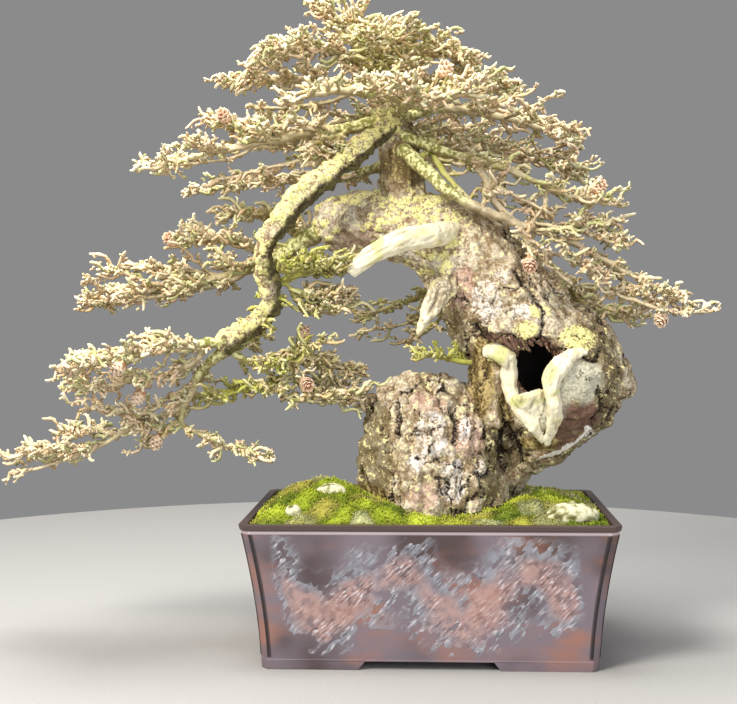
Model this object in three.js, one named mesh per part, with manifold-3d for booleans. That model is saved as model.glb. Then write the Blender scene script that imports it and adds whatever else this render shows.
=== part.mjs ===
// A larch bonsai in winter: a stout old trunk with a hollow and bleached deadwood, bare branches
// that carry short twigs and cones, and a splayed rectangular pot with moss on its soil.
// Millimetres, +Z up. The object faces -Y and stands on the four feet of its pot.

import * as THREE from "three";
import { mergeVertices } from "three/addons/utils/BufferGeometryUtils.js";
import Module from "manifold-3d";

const wasm = await Module();
wasm.setup();

// Driving dimensions. The pot's centre on the table is at x = 0, y = 0, z = 0 until the last step.
const GAP = 0.35; // clearance kept between two pieces that touch
const POT = {
  height: 165,
  rimHalf: [210, 145],
  baseHalf: [189, 124],
  flarePower: 1.65, // the walls are nearly upright below and sweep out to the rim
  wall: 9,
  floor: 26,
  notch: 8, // how far each indented corner cuts in along both faces
  panelInset: 1.4, // the panels lie this far behind the rim band and the foot band
  rimBand: 6,
  footBand: 11,
};
const FOOT = { height: 10, rail: 24, openFront: 160, openSide: 96, bevel: 9 };
const DRAIN = { radius: 15, x: 85, screen: 54, thick: 1.6, cells: 3, cell: 13 };
const SOIL_TOP = 152;
const MOSS_EDGE = 163; // height of the moss where it meets the rim
const TREE_BASE = 136; // the trunk stands on this level inside the soil

// Every seeded draw comes from this rule: the fraction of a large sine, between 0 and 1.
function draw(index, salt) {
  const s = Math.sin(index * 12.9898 + salt * 78.233) * 43758.5453;
  return s - Math.floor(s);
}

// A closed geometry with merged vertices as a solid.
function solidOf(geometry) {
  const bare = new THREE.BufferGeometry();
  bare.setAttribute("position", geometry.getAttribute("position"));
  bare.setIndex(geometry.index);
  const merged = mergeVertices(bare, 1e-4);
  return new wasm.Manifold(
    new wasm.Mesh({
      numProp: 3,
      vertProperties: new Float32Array(merged.attributes.position.array),
      triVerts: new Uint32Array(merged.index.array),
    }),
  );
}

// A solid as a geometry that can be drawn.
function geometryOf(solid) {
  const mesh = solid.getMesh();
  const geometry = new THREE.BufferGeometry();
  geometry.setAttribute(
    "position",
    new THREE.BufferAttribute(new Float32Array(mesh.vertProperties), 3),
  );
  geometry.setIndex(new THREE.BufferAttribute(new Uint32Array(mesh.triVerts), 1));
  geometry.computeVertexNormals();
  return geometry;
}

function joined(solids) {
  return solids.reduce((whole, solid) => whole.add(solid));
}

// The largest body of a solid: scraps that a cut has freed are dropped.
function largestBody(solid) {
  return solid.decompose().reduce((a, b) => (b.volume() > a.volume() ? b : a));
}

// A smooth path through stations, each [x, y, z, radius, radius along the depth].
function pathOf(stations) {
  const centres = stations.map(([x, y, z]) => new THREE.Vector3(x, y, z));
  const sizes = stations.map(([, , , r, deep = r]) => new THREE.Vector3(r, deep, 0));
  const line = new THREE.CatmullRomCurve3(centres, false, "catmullrom", 0.5);
  const size = new THREE.CatmullRomCurve3(sizes, false, "catmullrom", 0.5);
  return {
    point: (t) => line.getPoint(t),
    tangent: (t) => line.getTangent(t),
    radius: (t) => size.getPoint(t),
  };
}

// How much further out a sloping wall must move so that it gains 1 mm along its normal.
function steepness(path, t) {
  const [before, after] = [Math.max(0, t - 0.02), Math.min(1, t + 0.02)];
  const run = path.point(after).distanceTo(path.point(before));
  const slope = (path.radius(after).x - path.radius(before).x) / run;
  return Math.min(4, Math.sqrt(1 + slope * slope));
}

// A closed tube along a path. Each ring lies across the path, and relief(t, angle) scales its radius.
function tube(path, { steps, sides, grow = 0, relief = () => 1, from = 0 }) {
  const chord = path.point(1).sub(path.point(0)).normalize();
  const depthways = Math.abs(chord.y) < 0.8;
  const reference = depthways ? new THREE.Vector3(0, 1, 0) : new THREE.Vector3(0, 0, 1);
  const vertices = [];
  const faces = [];
  for (let i = 0; i <= steps; i++) {
    const t = from + ((1 - from) * i) / steps;
    const centre = path.point(t);
    const tangent = path.tangent(t);
    const size = path.radius(t);
    const deep = reference.clone().addScaledVector(tangent, -reference.dot(tangent)).normalize();
    const across = new THREE.Vector3().crossVectors(deep, tangent);
    if (i === 0) centre.addScaledVector(tangent, -grow);
    if (i === steps) centre.addScaledVector(tangent, grow);
    const outward = grow * steepness(path, t);
    for (let k = 0; k < sides; k++) {
      const angle = (2 * Math.PI * k) / sides;
      const scale = relief(t, angle);
      const p = centre
        .clone()
        .addScaledVector(across, Math.cos(angle) * (size.x * scale + outward))
        .addScaledVector(deep, Math.sin(angle) * (size.y * scale + outward));
      vertices.push(p.x, p.y, p.z);
    }
  }
  const end = sides * steps;
  for (let k = 0; k < sides; k++) {
    const next = (k + 1) % sides;
    for (let a = 0; a < end; a += sides) {
      const b = a + sides;
      faces.push(a + k, b + k, b + next, a + k, b + next, a + next);
    }
  }
  for (let k = 1; k + 1 < sides; k++) {
    faces.push(0, k, k + 1, end, end + k + 1, end + k);
  }
  const geometry = new THREE.BufferGeometry();
  geometry.setAttribute("position", new THREE.Float32BufferAttribute(vertices, 3));
  geometry.setIndex(faces);
  const solid = solidOf(geometry);
  return solid.volume() < 0 ? flipped(geometry) : solid;
}

// The same closed surface with each face turned round.
function flipped(geometry) {
  const index = geometry.index.array;
  for (let i = 0; i < index.length; i += 3) {
    [index[i + 1], index[i + 2]] = [index[i + 2], index[i + 1]];
  }
  return solidOf(geometry);
}

// An ellipsoid with low lumps, as a displaced sphere.
function pebble(centre, radii, columns, rows, lumps = 0, seed = 0) {
  const geometry = new THREE.SphereGeometry(1, columns, rows);
  const position = geometry.attributes.position;
  const p = new THREE.Vector3();
  for (let i = 0; i < position.count; i++) {
    p.fromBufferAttribute(position, i);
    const swell =
      1 + lumps * (Math.sin(3.1 * p.x + 2 * p.z + seed) + Math.sin(4.3 * p.y - 3 * p.z + seed));
    position.setXYZ(
      i,
      centre[0] + p.x * radii[0] * swell,
      centre[1] + p.y * radii[1] * swell,
      centre[2] + p.z * radii[2] * swell,
    );
  }
  return solidOf(geometry);
}

function box(low, high) {
  const size = high.map((v, i) => v - low[i]);
  const geometry = new THREE.BoxGeometry(...size);
  geometry.translate(...low.map((v, i) => v + size[i] / 2));
  return solidOf(geometry);
}

// The pot. Its plan is a rectangle with indented corners, lofted between levels.
function flare(z) {
  const share = Math.pow(Math.max(z, 0) / POT.height, POT.flarePower);
  return POT.rimHalf.map((rim, i) => POT.baseHalf[i] + (rim - POT.baseHalf[i]) * share);
}

// Plan corners, going round from the right side to the front, for one level of the pot.
function plan([halfWidth, halfDepth], notch) {
  const corner = [
    [0, notch],
    [notch * 0.35, notch * 0.55],
    [notch * 0.55, notch * 0.35],
    [notch, 0],
  ];
  const quarter = corner.map(([dx, dy]) => [halfWidth - dx, halfDepth - dy]);
  const back = [...quarter, ...quarter.map(([x, y]) => [-x, y]).reverse()];
  return [...back, ...back.map(([x, y]) => [-x, -y])];
}

// A closed loft through levels, each { z, half, notch }, all with the same number of plan points.
function loft(levels) {
  const rings = levels.map(({ z, half, notch }) => plan(half, notch).map(([x, y]) => [x, y, z]));
  const count = rings[0].length;
  const [first, last] = [levels[0].z, levels[levels.length - 1].z];
  const vertices = [...rings.flat(), [0, 0, first], [0, 0, last]];
  const bottom = rings.length * count;
  const faces = [];
  for (let k = 0; k < count; k++) {
    const next = (k + 1) % count;
    faces.push(bottom, next, k);
    for (let i = 0; i + 1 < rings.length; i++) {
      const [a, b] = [i * count, (i + 1) * count];
      faces.push(a + k, a + next, b + next, a + k, b + next, b + k);
    }
    const top = (rings.length - 1) * count;
    faces.push(bottom + 1, top + k, top + next);
  }
  const geometry = new THREE.BufferGeometry();
  geometry.setAttribute("position", new THREE.Float32BufferAttribute(vertices.flat(), 3));
  geometry.setIndex(faces);
  return solidOf(geometry);
}

function level(z, inset, notch = POT.notch) {
  return { z, half: flare(z).map((v) => v - inset), notch };
}

// The pot's inner room between two levels, shrunk by a clearance.
function room(low, high, clearance) {
  const inset = POT.wall + clearance;
  const count = 4;
  const steps = Array.from({ length: count + 1 }, (_, i) => low + ((high - low) * i) / count);
  return loft(steps.map((z) => level(z, inset, 5)));
}

// A channel with sloped ends under the pot, running along one axis between two of its feet.
function footChannel(width, reach, alongX) {
  const shape = new THREE.Shape();
  const half = width / 2;
  shape.moveTo(-half, -1);
  shape.lineTo(half, -1);
  shape.lineTo(half - FOOT.bevel, FOOT.height);
  shape.lineTo(-half + FOOT.bevel, FOOT.height);
  const geometry = new THREE.ExtrudeGeometry(shape, { depth: 2 * reach, bevelEnabled: false });
  geometry.translate(0, 0, -reach);
  geometry.rotateX(Math.PI / 2);
  if (alongX) geometry.rotateZ(Math.PI / 2);
  return solidOf(geometry);
}

function drainHole(side) {
  const geometry = new THREE.CylinderGeometry(DRAIN.radius, DRAIN.radius, POT.floor * 3, 16);
  geometry.rotateX(Math.PI / 2);
  geometry.translate(side * DRAIN.x, 0, 0);
  return solidOf(geometry);
}

function potSolid() {
  const { height, footBand, rimBand, panelInset } = POT;
  const panel = [0.3, 0.58, 0.82].map(
    (share) => footBand + 1 + (height - rimBand - 1 - footBand - 1) * share,
  );
  const body = loft([
    level(0, 1.5),
    level(footBand, 0.6),
    level(footBand + 1, panelInset),
    ...panel.map((z) => level(z, panelInset)),
    level(height - rimBand - 1, panelInset),
    level(height - rimBand, 0),
    level(height, 0),
  ]);
  const railHalf = POT.baseHalf.map((v) => v - FOOT.rail);
  const recess = box([-railHalf[0], -railHalf[1], -1], [railHalf[0], railHalf[1], FOOT.height]);
  const cuts = [
    room(POT.floor, height + 5, 0),
    recess,
    footChannel(FOOT.openFront, 2 * POT.rimHalf[1], false),
    footChannel(FOOT.openSide, 2 * POT.rimHalf[0], true),
    drainHole(-1),
    drainHole(1),
  ];
  return cuts.reduce((whole, cut) => whole.subtract(cut), body);
}

// A square of plastic mesh that keeps the soil above a drain hole.
function drainScreen(side) {
  const half = DRAIN.screen / 2;
  const low = POT.floor + GAP;
  const sheet = box([side * DRAIN.x - half, -half, low], [side * DRAIN.x + half, half, low + DRAIN.thick]);
  const pitch = DRAIN.screen / DRAIN.cells;
  const r = DRAIN.cell / 2;
  const cells = Array.from({ length: DRAIN.cells * DRAIN.cells }, (_, i) => {
    const x = side * DRAIN.x - half + pitch * ((i % DRAIN.cells) + 0.5);
    const y = -half + pitch * (Math.floor(i / DRAIN.cells) + 0.5);
    return box([x - r, y - r, low - 1], [x + r, y + r, low + DRAIN.thick + 1]);
  });
  return cells.reduce((whole, cell) => whole.subtract(cell), sheet);
}

// The trunk. Each mass is a tube whose stations are [x, y, z, radius in the picture plane, radius in depth].
const BURL = [
  [8, 0, TREE_BASE, 84, 78],
  [6, -2, 168, 90, 82],
  [2, -4, 206, 84, 80],
  [0, -5, 246, 79, 76],
  [2, -3, 280, 68, 67],
  [8, 0, 304, 50, 50],
  [12, 2, 318, 24, 24],
  [13, 2, 323, 5, 5],
];
const REAR_STEM = [
  [66, 40, TREE_BASE, 42, 40],
  [72, 38, 180, 38, 38],
  [84, 32, 214, 40, 42],
  [106, 24, 250, 48, 50],
  [132, 14, 296, 40, 44],
];
const HOLLOW_MASS = [
  [106, 22, 214, 12, 14],
  [110, 18, 224, 30, 32],
  [122, 13, 250, 52, 50],
  [139, 9, 284, 72, 66],
  [159, 6, 322, 84, 75],
  [152, 5, 352, 68, 66],
  [134, 5, 382, 46, 46],
  [126, 5, 394, 10, 10],
];
const NECK_AND_HEAD = [
  [150, 5, 322, 70, 62],
  [112, 5, 370, 73, 66],
  [80, 5, 418, 66, 63],
  [52, 5, 456, 60, 58],
  [16, 8, 485, 49, 52],
  [-30, 10, 501, 42, 46],
  [-80, 12, 503, 39, 42],
  [-112, 14, 502, 32, 34],
  [-130, 15, 501, 20, 22],
  [-136, 15, 500, 6, 6],
];
// The fibrous bark that joins the neck to the burl.
const BARK_WEB = [
  [62, -14, 368, 12, 14],
  [66, -16, 336, 20, 24],
  [70, -18, 300, 26, 30],
  [78, -16, 266, 26, 30],
];
const KNURL = { centre: [229, -4, 312], radii: [17, 24, 21] };
const APEX_TRUNK = [
  [-20, 8, 505, 27, 28],
  [-30, 4, 545, 27, 27],
  [-36, 0, 588, 24, 24],
  [-42, -2, 626, 19, 19],
  [-50, 0, 662, 13, 13],
  [-58, 0, 696, 8, 8],
];
const LEFT_LIMB = [
  [-38, -2, 628, 9],
  [-60, -32, 602, 11],
  [-88, -54, 576, 12],
  [-120, -70, 550, 13],
  [-152, -80, 523, 14],
  [-174, -85, 493, 13],
  [-188, -80, 464, 12],
  [-182, -66, 432, 12],
  [-182, -60, 402, 12],
  [-208, -62, 380, 12],
  [-240, -62, 360, 12],
];
const HOLLOW = { centre: [119, -62, 330], radii: [23, 44, 35] };
const HOLLOW_LOW = { centre: [134, -70, 264], radii: [6, 18, 10] };
const ROOTS = { count: 5, reach: 112, start: 48, thick: 17, thin: 6 };

// Slow swells and folds of old bark, as a share of the radius.
function barkSwell(seed, depth) {
  return (t, angle) =>
    1 +
    depth * Math.sin(3 * angle + 4.2 * t + seed) +
    0.7 * depth * Math.sin(5 * angle - 7.5 * t + 2 * seed) +
    0.55 * depth * Math.sin(8 * angle + 11 * t - seed);
}

function rootTube(index, grow) {
  const angle = (2 * Math.PI * (index + 0.3 * draw(index, 5))) / ROOTS.count;
  const at = (share, z) => {
    const r = ROOTS.start + (ROOTS.reach - ROOTS.start) * share;
    return [8 + r * Math.cos(angle), 0.86 * r * Math.sin(angle), z];
  };
  const stations = [
    [...at(0, 180), ROOTS.thick],
    [...at(0.55, 164), ROOTS.thick * 0.8],
    [...at(1, TREE_BASE + 6), ROOTS.thin],
  ];
  return tube(pathOf(stations), { steps: 3, sides: 5, grow });
}

function trunkSolid(grow) {
  const masses = [
    tube(pathOf(BURL), { steps: 10, sides: 20, grow, relief: barkSwell(0.4, 0.035) }),
    tube(pathOf(REAR_STEM), { steps: 4, sides: 12, grow, relief: barkSwell(1.9, 0.04) }),
    tube(pathOf(HOLLOW_MASS), { steps: 10, sides: 20, grow, relief: barkSwell(3.1, 0.035) }),
    tube(pathOf(NECK_AND_HEAD), { steps: 13, sides: 18, grow, relief: barkSwell(4.4, 0.04) }),
    tube(pathOf(APEX_TRUNK), { steps: 7, sides: 10, grow, relief: barkSwell(5.6, 0.05) }),
    tube(pathOf(BARK_WEB), { steps: 3, sides: 8, grow, relief: barkSwell(2.7, 0.05) }),
    tube(pathOf(LEFT_LIMB), { steps: 13, sides: 6, grow, relief: barkSwell(0.9, 0.05) }),
  ];
  const roots = Array.from({ length: ROOTS.count }, (_, i) => rootTube(i, grow));
  const shrunk = ({ centre, radii }) =>
    pebble(
      centre,
      radii.map((r) => r - grow),
      12,
      8,
      0.05,
      1,
    );
  const knurl = pebble(
    KNURL.centre,
    KNURL.radii.map((r) => r + grow),
    8,
    5,
    0.07,
    2,
  );
  return joined([...masses, ...roots, knurl]).subtract(shrunk(HOLLOW)).subtract(shrunk(HOLLOW_LOW));
}

// Deadwood: pale, bare wood that stands out of the bark.
const JIN_UPPER = [
  [34, -26, 494, 13, 13],
  [12, -60, 486, 14, 12],
  [-19, -72, 482, 14, 12],
  [-47, -76, 473, 12, 10],
  [-72, -75, 458, 10, 9],
  [-89, -72, 442, 8, 7],
];
const JIN_LOWER = [
  [36, -30, 440, 14, 8],
  [16, -58, 424, 15, 8],
  [2, -66, 402, 12, 7],
  [-6, -67, 385, 8, 5],
  [-11, -66, 370, 2, 2],
];
// The two lips of the hollow: x, z and half width. They follow the bark's front.
const LIP_LEFT = [
  [64, 352, 6],
  [79, 353, 10],
  [94, 340, 11],
  [92, 322, 10],
  [94, 304, 8],
  [104, 286, 8],
  [118, 267, 7],
  [132, 247, 3],
];
const LIP_RIGHT = [
  [180, 352, 4],
  [160, 347, 8],
  [145, 332, 11],
  [138, 316, 11],
  [141, 299, 9],
  [144, 280, 10],
  [142, 264, 8],
  [136, 242, 3],
];
const LIP_PROUD = 3; // the lips' middle line stands this far off the bark
const LIP_DEEP = 0.7; // their depth as a share of their width
// The bare wood between the lips, below the hollow.
const LIP_PANEL = { from: [116, 304], to: [131, 258], wide: [21, 8], deep: [7, 4] };

// The y of the bark's front at a height and width.
function barkFront(trunkMesh, x, z) {
  const ray = new THREE.Raycaster(new THREE.Vector3(x, -400, z), new THREE.Vector3(0, 1, 0));
  return ray.intersectObject(trunkMesh)[0].point.y;
}

function lipPanel(trunkMesh) {
  const { from, to, wide, deep } = LIP_PANEL;
  const stations = [from, to].map(([x, z], i) => {
    const seat = Math.min(barkFront(trunkMesh, x - 24, z), barkFront(trunkMesh, x + 24, z));
    return [x, seat + 3, z, wide[i], deep[i]];
  });
  return tube(pathOf(stations), { steps: 2, sides: 6 });
}

// A lip keeps to the bark beside the hollow, and bridges the hollow where the bark is cut away.
function lip(stations, trunkMesh) {
  const seats = stations.map(([x, z]) => {
    const left = barkFront(trunkMesh, x - 12, z);
    const right = barkFront(trunkMesh, x + 12, z);
    return Math.min(left, right, barkFront(trunkMesh, x, z));
  });
  const full = stations.map(([x, z, r], i) => [x, seats[i] - LIP_PROUD, z, r, r * LIP_DEEP]);
  return tube(pathOf(full), { steps: 8, sides: 6, relief: barkSwell(1.1, 0.06) });
}

// Sprays: each branch with its side branches, twigs and cones. route is [x, y, z] from the root out,
// thick the radius at the root and the tip, spread the longest side branch, rise its upward bend,
// cones are [share along the branch, x, y, z of the cone's middle], and forks are further stems.
const SPRAYS = [
  {
    name: "left_low_upper",
    route: [
      [-229, -66, 365], [-254, -71, 363], [-287, -82, 359], [-323, -94, 353],
      [-365, -100, 344], [-396, -105, 336],
    ],
    thick: [7, 1.8],
    spread: 62,
    rise: 0.19,
    cones: [[0.98, -403, -112, 336], [0.55, -348, -106, 336], [0.42, -332, -78, 303]],
    forks: [
      {
        route: [
          [-254, -71, 362], [-270, -64, 344], [-300, -62, 328], [-336, -68, 320],
          [-372, -75, 314], [-404, -76, 315],
        ],
        thick: [4.5, 1.4],
        spread: 34,
        rise: 0.14,
      },
    ],
  },
  {
    name: "left_low_lower",
    route: [
      [-235, -58, 354], [-255, -52, 340], [-273, -45, 318], [-291, -38, 287], [-331, -30, 271],
      [-375, -20, 250], [-431, -12, 224], [-499, -5, 204],
    ],
    thick: [7.5, 1.5],
    spread: 56,
    rise: 0.15,
    cones: [[0.88, -479, -16, 236], [0.5, -320, -44, 248]],
    forks: [
      {
        route: [
          [-291, -38, 287], [-288, -46, 268], [-268, -54, 256], [-240, -58, 244],
          [-208, -60, 237],
        ],
        thick: [4, 1.3],
        spread: 20,
        rise: 0.1,
      },
      {
        route: [[-331, -30, 271], [-346, -50, 279], [-372, -66, 287], [-396, -74, 288]],
        thick: [3.6, 1.3],
        spread: 20,
        rise: 0.1,
      },
    ],
  },
  {
    name: "left_inner",
    route: [
      [-228, -58, 352], [-209, -46, 341], [-185, -32, 338], [-163, -20, 341], [-130, -8, 336],
      [-95, 0, 327],
    ],
    thick: [5, 1.4],
    spread: 44,
    rise: 0.2,
    cones: [[0.6, -149, -24, 372], [0.6, -142, -56, 316]],
    forks: [
      {
        route: [
          [-163, -20, 341], [-156, -32, 318], [-134, -40, 302], [-104, -44, 303],
          [-78, -48, 306],
        ],
        thick: [3.6, 1.3],
        spread: 26,
        rise: 0.1,
      },
      {
        route: [
          [-163, -20, 341], [-178, -30, 318], [-206, -36, 308], [-236, -38, 302],
          [-256, -38, 298],
        ],
        thick: [3.4, 1.3],
        spread: 18,
        rise: 0.1,
      },
    ],
  },
  {
    name: "left_inner_high",
    route: [[-184, -65, 424], [-158, -60, 439], [-133, -54, 444], [-112, -50, 446]],
    thick: [5, 1.4],
    spread: 42,
    rise: 0.16,
    cones: [],
    forks: [
      {
        route: [[-168, -62, 434], [-150, -57, 420], [-124, -52, 416], [-106, -50, 416]],
        thick: [3, 1.3],
        spread: 22,
        rise: 0.08,
      },
    ],
  },
  {
    name: "left_mid",
    route: [
      [-132, 12, 495], [-167, 18, 476], [-203, 12, 457], [-246, 8, 443], [-292, 8, 433],
      [-341, 15, 426], [-388, 22, 419],
    ],
    thick: [12, 1.8],
    spread: 84,
    rise: 0.19,
    cones: [[0.55, -303, -30, 484]],
    forks: [
      {
        route: [[-190, 14, 464], [-222, -2, 478], [-254, -12, 485], [-284, -16, 484]],
        thick: [5, 1.4],
        spread: 40,
        rise: 0.16,
      },
    ],
  },
  {
    name: "left_back",
    route: [[-43, 14, 579], [-105, 58, 565], [-164, 85, 565], [-230, 100, 562], [-300, 105, 555]],
    thick: [7, 1.6],
    spread: 62,
    rise: 0.07,
    cones: [],
  },
  {
    name: "left_upper",
    route: [
      [-45, -4, 626], [-96, -18, 615], [-142, -28, 607], [-196, -36, 597], [-249, -42, 585],
      [-301, -45, 573],
    ],
    thick: [9, 1.8],
    spread: 84,
    rise: 0.19,
    cones: [[0.62, -232, -70, 622]],
  },
  {
    name: "left_top",
    route: [[-52, 0, 660], [-100, 8, 669], [-149, 14, 678], [-195, 10, 680], [-228, 4, 674]],
    thick: [8, 1.8],
    spread: 78,
    rise: 0.21,
    cones: [],
  },
  {
    name: "crown_left",
    route: [[-56, 0, 683], [-100, -14, 699], [-144, -22, 708], [-182, -26, 700]],
    thick: [6, 1.6],
    spread: 62,
    rise: 0.26,
    cones: [],
  },
  {
    name: "crown_top",
    route: [[-59, 2, 699], [-74, 6, 717], [-86, 2, 732]],
    thick: [7, 1.8],
    spread: 46,
    rise: 0.34,
    cones: [],
  },
  {
    name: "crown_right",
    route: [[-57, 0, 691], [-21, -12, 702], [12, -16, 704], [42, -18, 692]],
    thick: [6, 1.6],
    spread: 62,
    rise: 0.26,
    cones: [],
  },
  {
    name: "crown_front",
    route: [[-58, -6, 678], [-58, -34, 696], [-52, -60, 711]],
    thick: [6, 1.6],
    spread: 54,
    rise: 0.26,
    cones: [],
  },
  {
    name: "crown_back",
    route: [[-55, 4, 680], [-52, 50, 696], [-46, 100, 690], [-40, 146, 672]],
    thick: [7, 1.6],
    spread: 72,
    rise: 0.22,
    cones: [],
  },
  {
    name: "right_top",
    route: [[-49, 0, 655], [0, 16, 672], [54, 26, 676], [98, 34, 662]],
    thick: [8, 1.7],
    spread: 76,
    rise: 0.21,
    cones: [],
  },
  {
    name: "right_upper",
    route: [[-45, -4, 626], [12, -22, 635], [66, -30, 628], [114, -32, 616], [158, -30, 597]],
    thick: [8, 1.7],
    spread: 80,
    rise: 0.19,
    cones: [],
  },
  {
    name: "right_upper_low",
    route: [[-40, 6, 609], [22, 34, 600], [84, 52, 592], [141, 60, 581], [182, 64, 567]],
    thick: [7, 1.6],
    spread: 66,
    rise: 0.15,
    cones: [],
  },
  {
    name: "right_mid",
    route: [
      [-37, -12, 609], [12, -38, 586], [58, -50, 570], [97, -56, 559], [135, -58, 537],
      [174, -60, 525], [207, -62, 519],
    ],
    thick: [7, 1.6],
    spread: 52,
    rise: 0.14,
    cones: [[0.86, 192, -68, 537]],
  },
  {
    name: "right_low",
    route: [
      [-30, -18, 589], [1, -54, 557], [26, -68, 532], [56, -66, 516], [90, -54, 503],
      [127, -46, 490], [179, -40, 470], [237, -34, 439], [277, -28, 417], [313, -24, 403],
    ],
    thick: [9, 1.6],
    spread: 62,
    rise: 0.10,
    cones: [[0.9, 269, -40, 390], [0.5, 114, -78, 452]],
    forks: [
      {
        route: [[150, -43, 482], [160, -50, 466], [178, -54, 450], [193, -56, 436]],
        thick: [3, 1.3],
        spread: 20,
        rise: 0.04,
      },
      {
        route: [[193, -38, 464], [214, -24, 446], [244, -18, 420], [268, -16, 406]],
        thick: [3.4, 1.3],
        spread: 30,
        rise: 0.08,
      },
      {
        route: [[139, -44, 486], [176, -40, 497], [205, -38, 492]],
        thick: [3, 1.3],
        spread: 26,
        rise: 0.12,
      },
    ],
  },
  {
    name: "right_under",
    route: [[110, 32, 452], [144, 36, 432], [176, 38, 415], [208, 40, 396], [238, 42, 391]],
    thick: [6, 1.5],
    spread: 46,
    rise: 0.09,
    cones: [],
  },
  {
    name: "front_pad",
    route: [[-40, -10, 636], [-26, -62, 634], [-8, -108, 632], [8, -152, 626]],
    thick: [8, 1.7],
    spread: 84,
    rise: 0.21,
    cones: [[0.7, 18, -128, 660]],
  },
  {
    name: "front_left_pad",
    route: [[-46, -6, 646], [-82, -60, 650], [-116, -102, 642], [-146, -132, 628]],
    thick: [7, 1.6],
    spread: 70,
    rise: 0.20,
    cones: [],
  },
  {
    name: "back_upper",
    route: [[-38, 8, 618], [-20, 70, 622], [4, 130, 612], [20, 188, 592]],
    thick: [9, 1.8],
    spread: 88,
    rise: 0.19,
    cones: [[0.6, 30, 128, 640]],
  },
  {
    name: "back_left",
    route: [[-40, 8, 640], [-92, 66, 640], [-146, 112, 630], [-200, 148, 612]],
    thick: [8, 1.7],
    spread: 78,
    rise: 0.17,
    cones: [],
  },
  {
    name: "back_mid",
    route: [[10, 40, 500], [30, 96, 508], [52, 150, 500], [70, 204, 482]],
    thick: [9, 1.8],
    spread: 84,
    rise: 0.15,
    cones: [],
  },
  {
    name: "back_low",
    route: [[56, 44, 420], [20, 78, 424], [-18, 98, 414], [-56, 110, 402], [-94, 118, 386]],
    thick: [6, 1.5],
    spread: 46,
    rise: 0.10,
    cones: [],
  },
  {
    name: "neck_tuft",
    route: [[60, -20, 336], [24, -35, 343], [-4, -38, 347]],
    sideStep: 9,
    thick: [4, 1.6],
    spread: 14,
    rise: 0.12,
    cones: [],
  },
];
const SPRAY_RULE = {
  sideBranches: 18, // places for side branches along a spray
  sideStep: 3, // these solids take every third place along a main stem
  forkStep: 9, // and every ninth along a fork
  twigStep: 2, // every second one of these side branches has a twig here
  twigs: 8, // places for twigs along a side branch
  twigPick: [4], // these solids take this place
  twigLength: 25,
  twigThick: 1.5,
  coneLong: 9.5,
  coneWide: 7.5,
};
const CLEAR = 1.0; // least distance between two sprays

// Side branch number j of an arm: where it starts, which way it goes, its length and bend.
function sideBranch(arm, j) {
  const key = j + 40 * arm.seed;
  const t = 0.14 + (0.86 * (j + 0.5)) / SPRAY_RULE.sideBranches + 0.02 * (draw(key, 1) - 0.5);
  const start = arm.path.point(t);
  const along = arm.path.tangent(t);
  const level = new THREE.Vector3(along.y, -along.x, 0).normalize();
  const side = j % 4 < 2 ? 1 : -1;
  const turn = THREE.MathUtils.degToRad(34 + 34 * draw(key, 2));
  const lift = arm.rise * (0.2 + 1.1 * draw(key, 3)) - 0.04;
  const way = along
    .clone()
    .multiplyScalar(Math.cos(turn))
    .addScaledVector(level, side * Math.sin(turn))
    .addScaledVector(UP, lift)
    .normalize();
  const fullness = 0.45 + 0.55 * Math.sin(Math.PI * (0.12 + 0.7 * t));
  const length = arm.spread * fullness * (0.7 + 0.6 * draw(key, 4));
  const sway = new THREE.Vector3().crossVectors(way, UP).normalize();
  const swing = 0.16 * (draw(key, 5) - 0.5) * length;
  const thick = Math.max(1.7, 0.5 * arm.path.radius(t).x);
  return { start, way, length, sway, swing, thick, key };
}

// The point a share q along a side branch: it bends upwards and sways to one side.
function sidePoint(branch, q) {
  const rise = 0.14 * branch.length * q * q;
  const sway = branch.swing * Math.sin(Math.PI * 1.6 * q);
  return branch.start
    .clone()
    .addScaledVector(branch.way, branch.length * q)
    .addScaledVector(branch.sway, sway)
    .addScaledVector(UP, rise);
}

// Twig number i of a side branch: its foot and its tip.
function twigEnds(branch, i) {
  const key = i + 9 * branch.key;
  const q = 0.16 + (0.84 * (i + 0.5)) / SPRAY_RULE.twigs;
  const foot = sidePoint(branch, q);
  const side = i % 2 === 0 ? 1 : -1;
  const way = branch.way
    .clone()
    .multiplyScalar(0.35 + 0.5 * draw(key, 6))
    .addScaledVector(branch.sway, side * (0.25 + 0.6 * draw(key, 7)))
    .addScaledVector(UP, 0.25 + 0.75 * draw(key, 8))
    .normalize();
  const length = SPRAY_RULE.twigLength * (0.55 + 0.75 * draw(key, 9)) * (1.1 - 0.3 * q);
  return [foot, foot.clone().addScaledVector(way, length)];
}

// Round-ended segments that the sprays take up, to keep each spray clear of the others.
const taken = [];

function segmentDistance([a, b], [c, d]) {
  const [u, v] = [b.clone().sub(a), d.clone().sub(c)];
  const w = a.clone().sub(c);
  const [uu, uv, vv] = [u.dot(u), u.dot(v), v.dot(v)];
  const [uw, vw] = [u.dot(w), v.dot(w)];
  const det = uu * vv - uv * uv;
  const clampShare = (x) => Math.min(1, Math.max(0, x));
  let s = det > 1e-9 ? clampShare((uv * vw - vv * uw) / det) : 0;
  const t = clampShare((uv * s + vw) / vv);
  s = clampShare((uv * t - uw) / uu);
  return a.clone().addScaledVector(u, s).distanceTo(c.clone().addScaledVector(v, t));
}

function isClear(owner, points, radius) {
  return taken.every((other) => {
    if (other.owner === owner) return true;
    for (let i = 0; i + 1 < points.length; i++) {
      const gap = segmentDistance([points[i], points[i + 1]], other.ends);
      if (gap < radius + other.radius + CLEAR) return false;
    }
    return true;
  });
}

function take(owner, points, radius) {
  for (let i = 0; i + 1 < points.length; i++) {
    taken.push({ owner, ends: [points[i], points[i + 1]], radius });
  }
}

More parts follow.
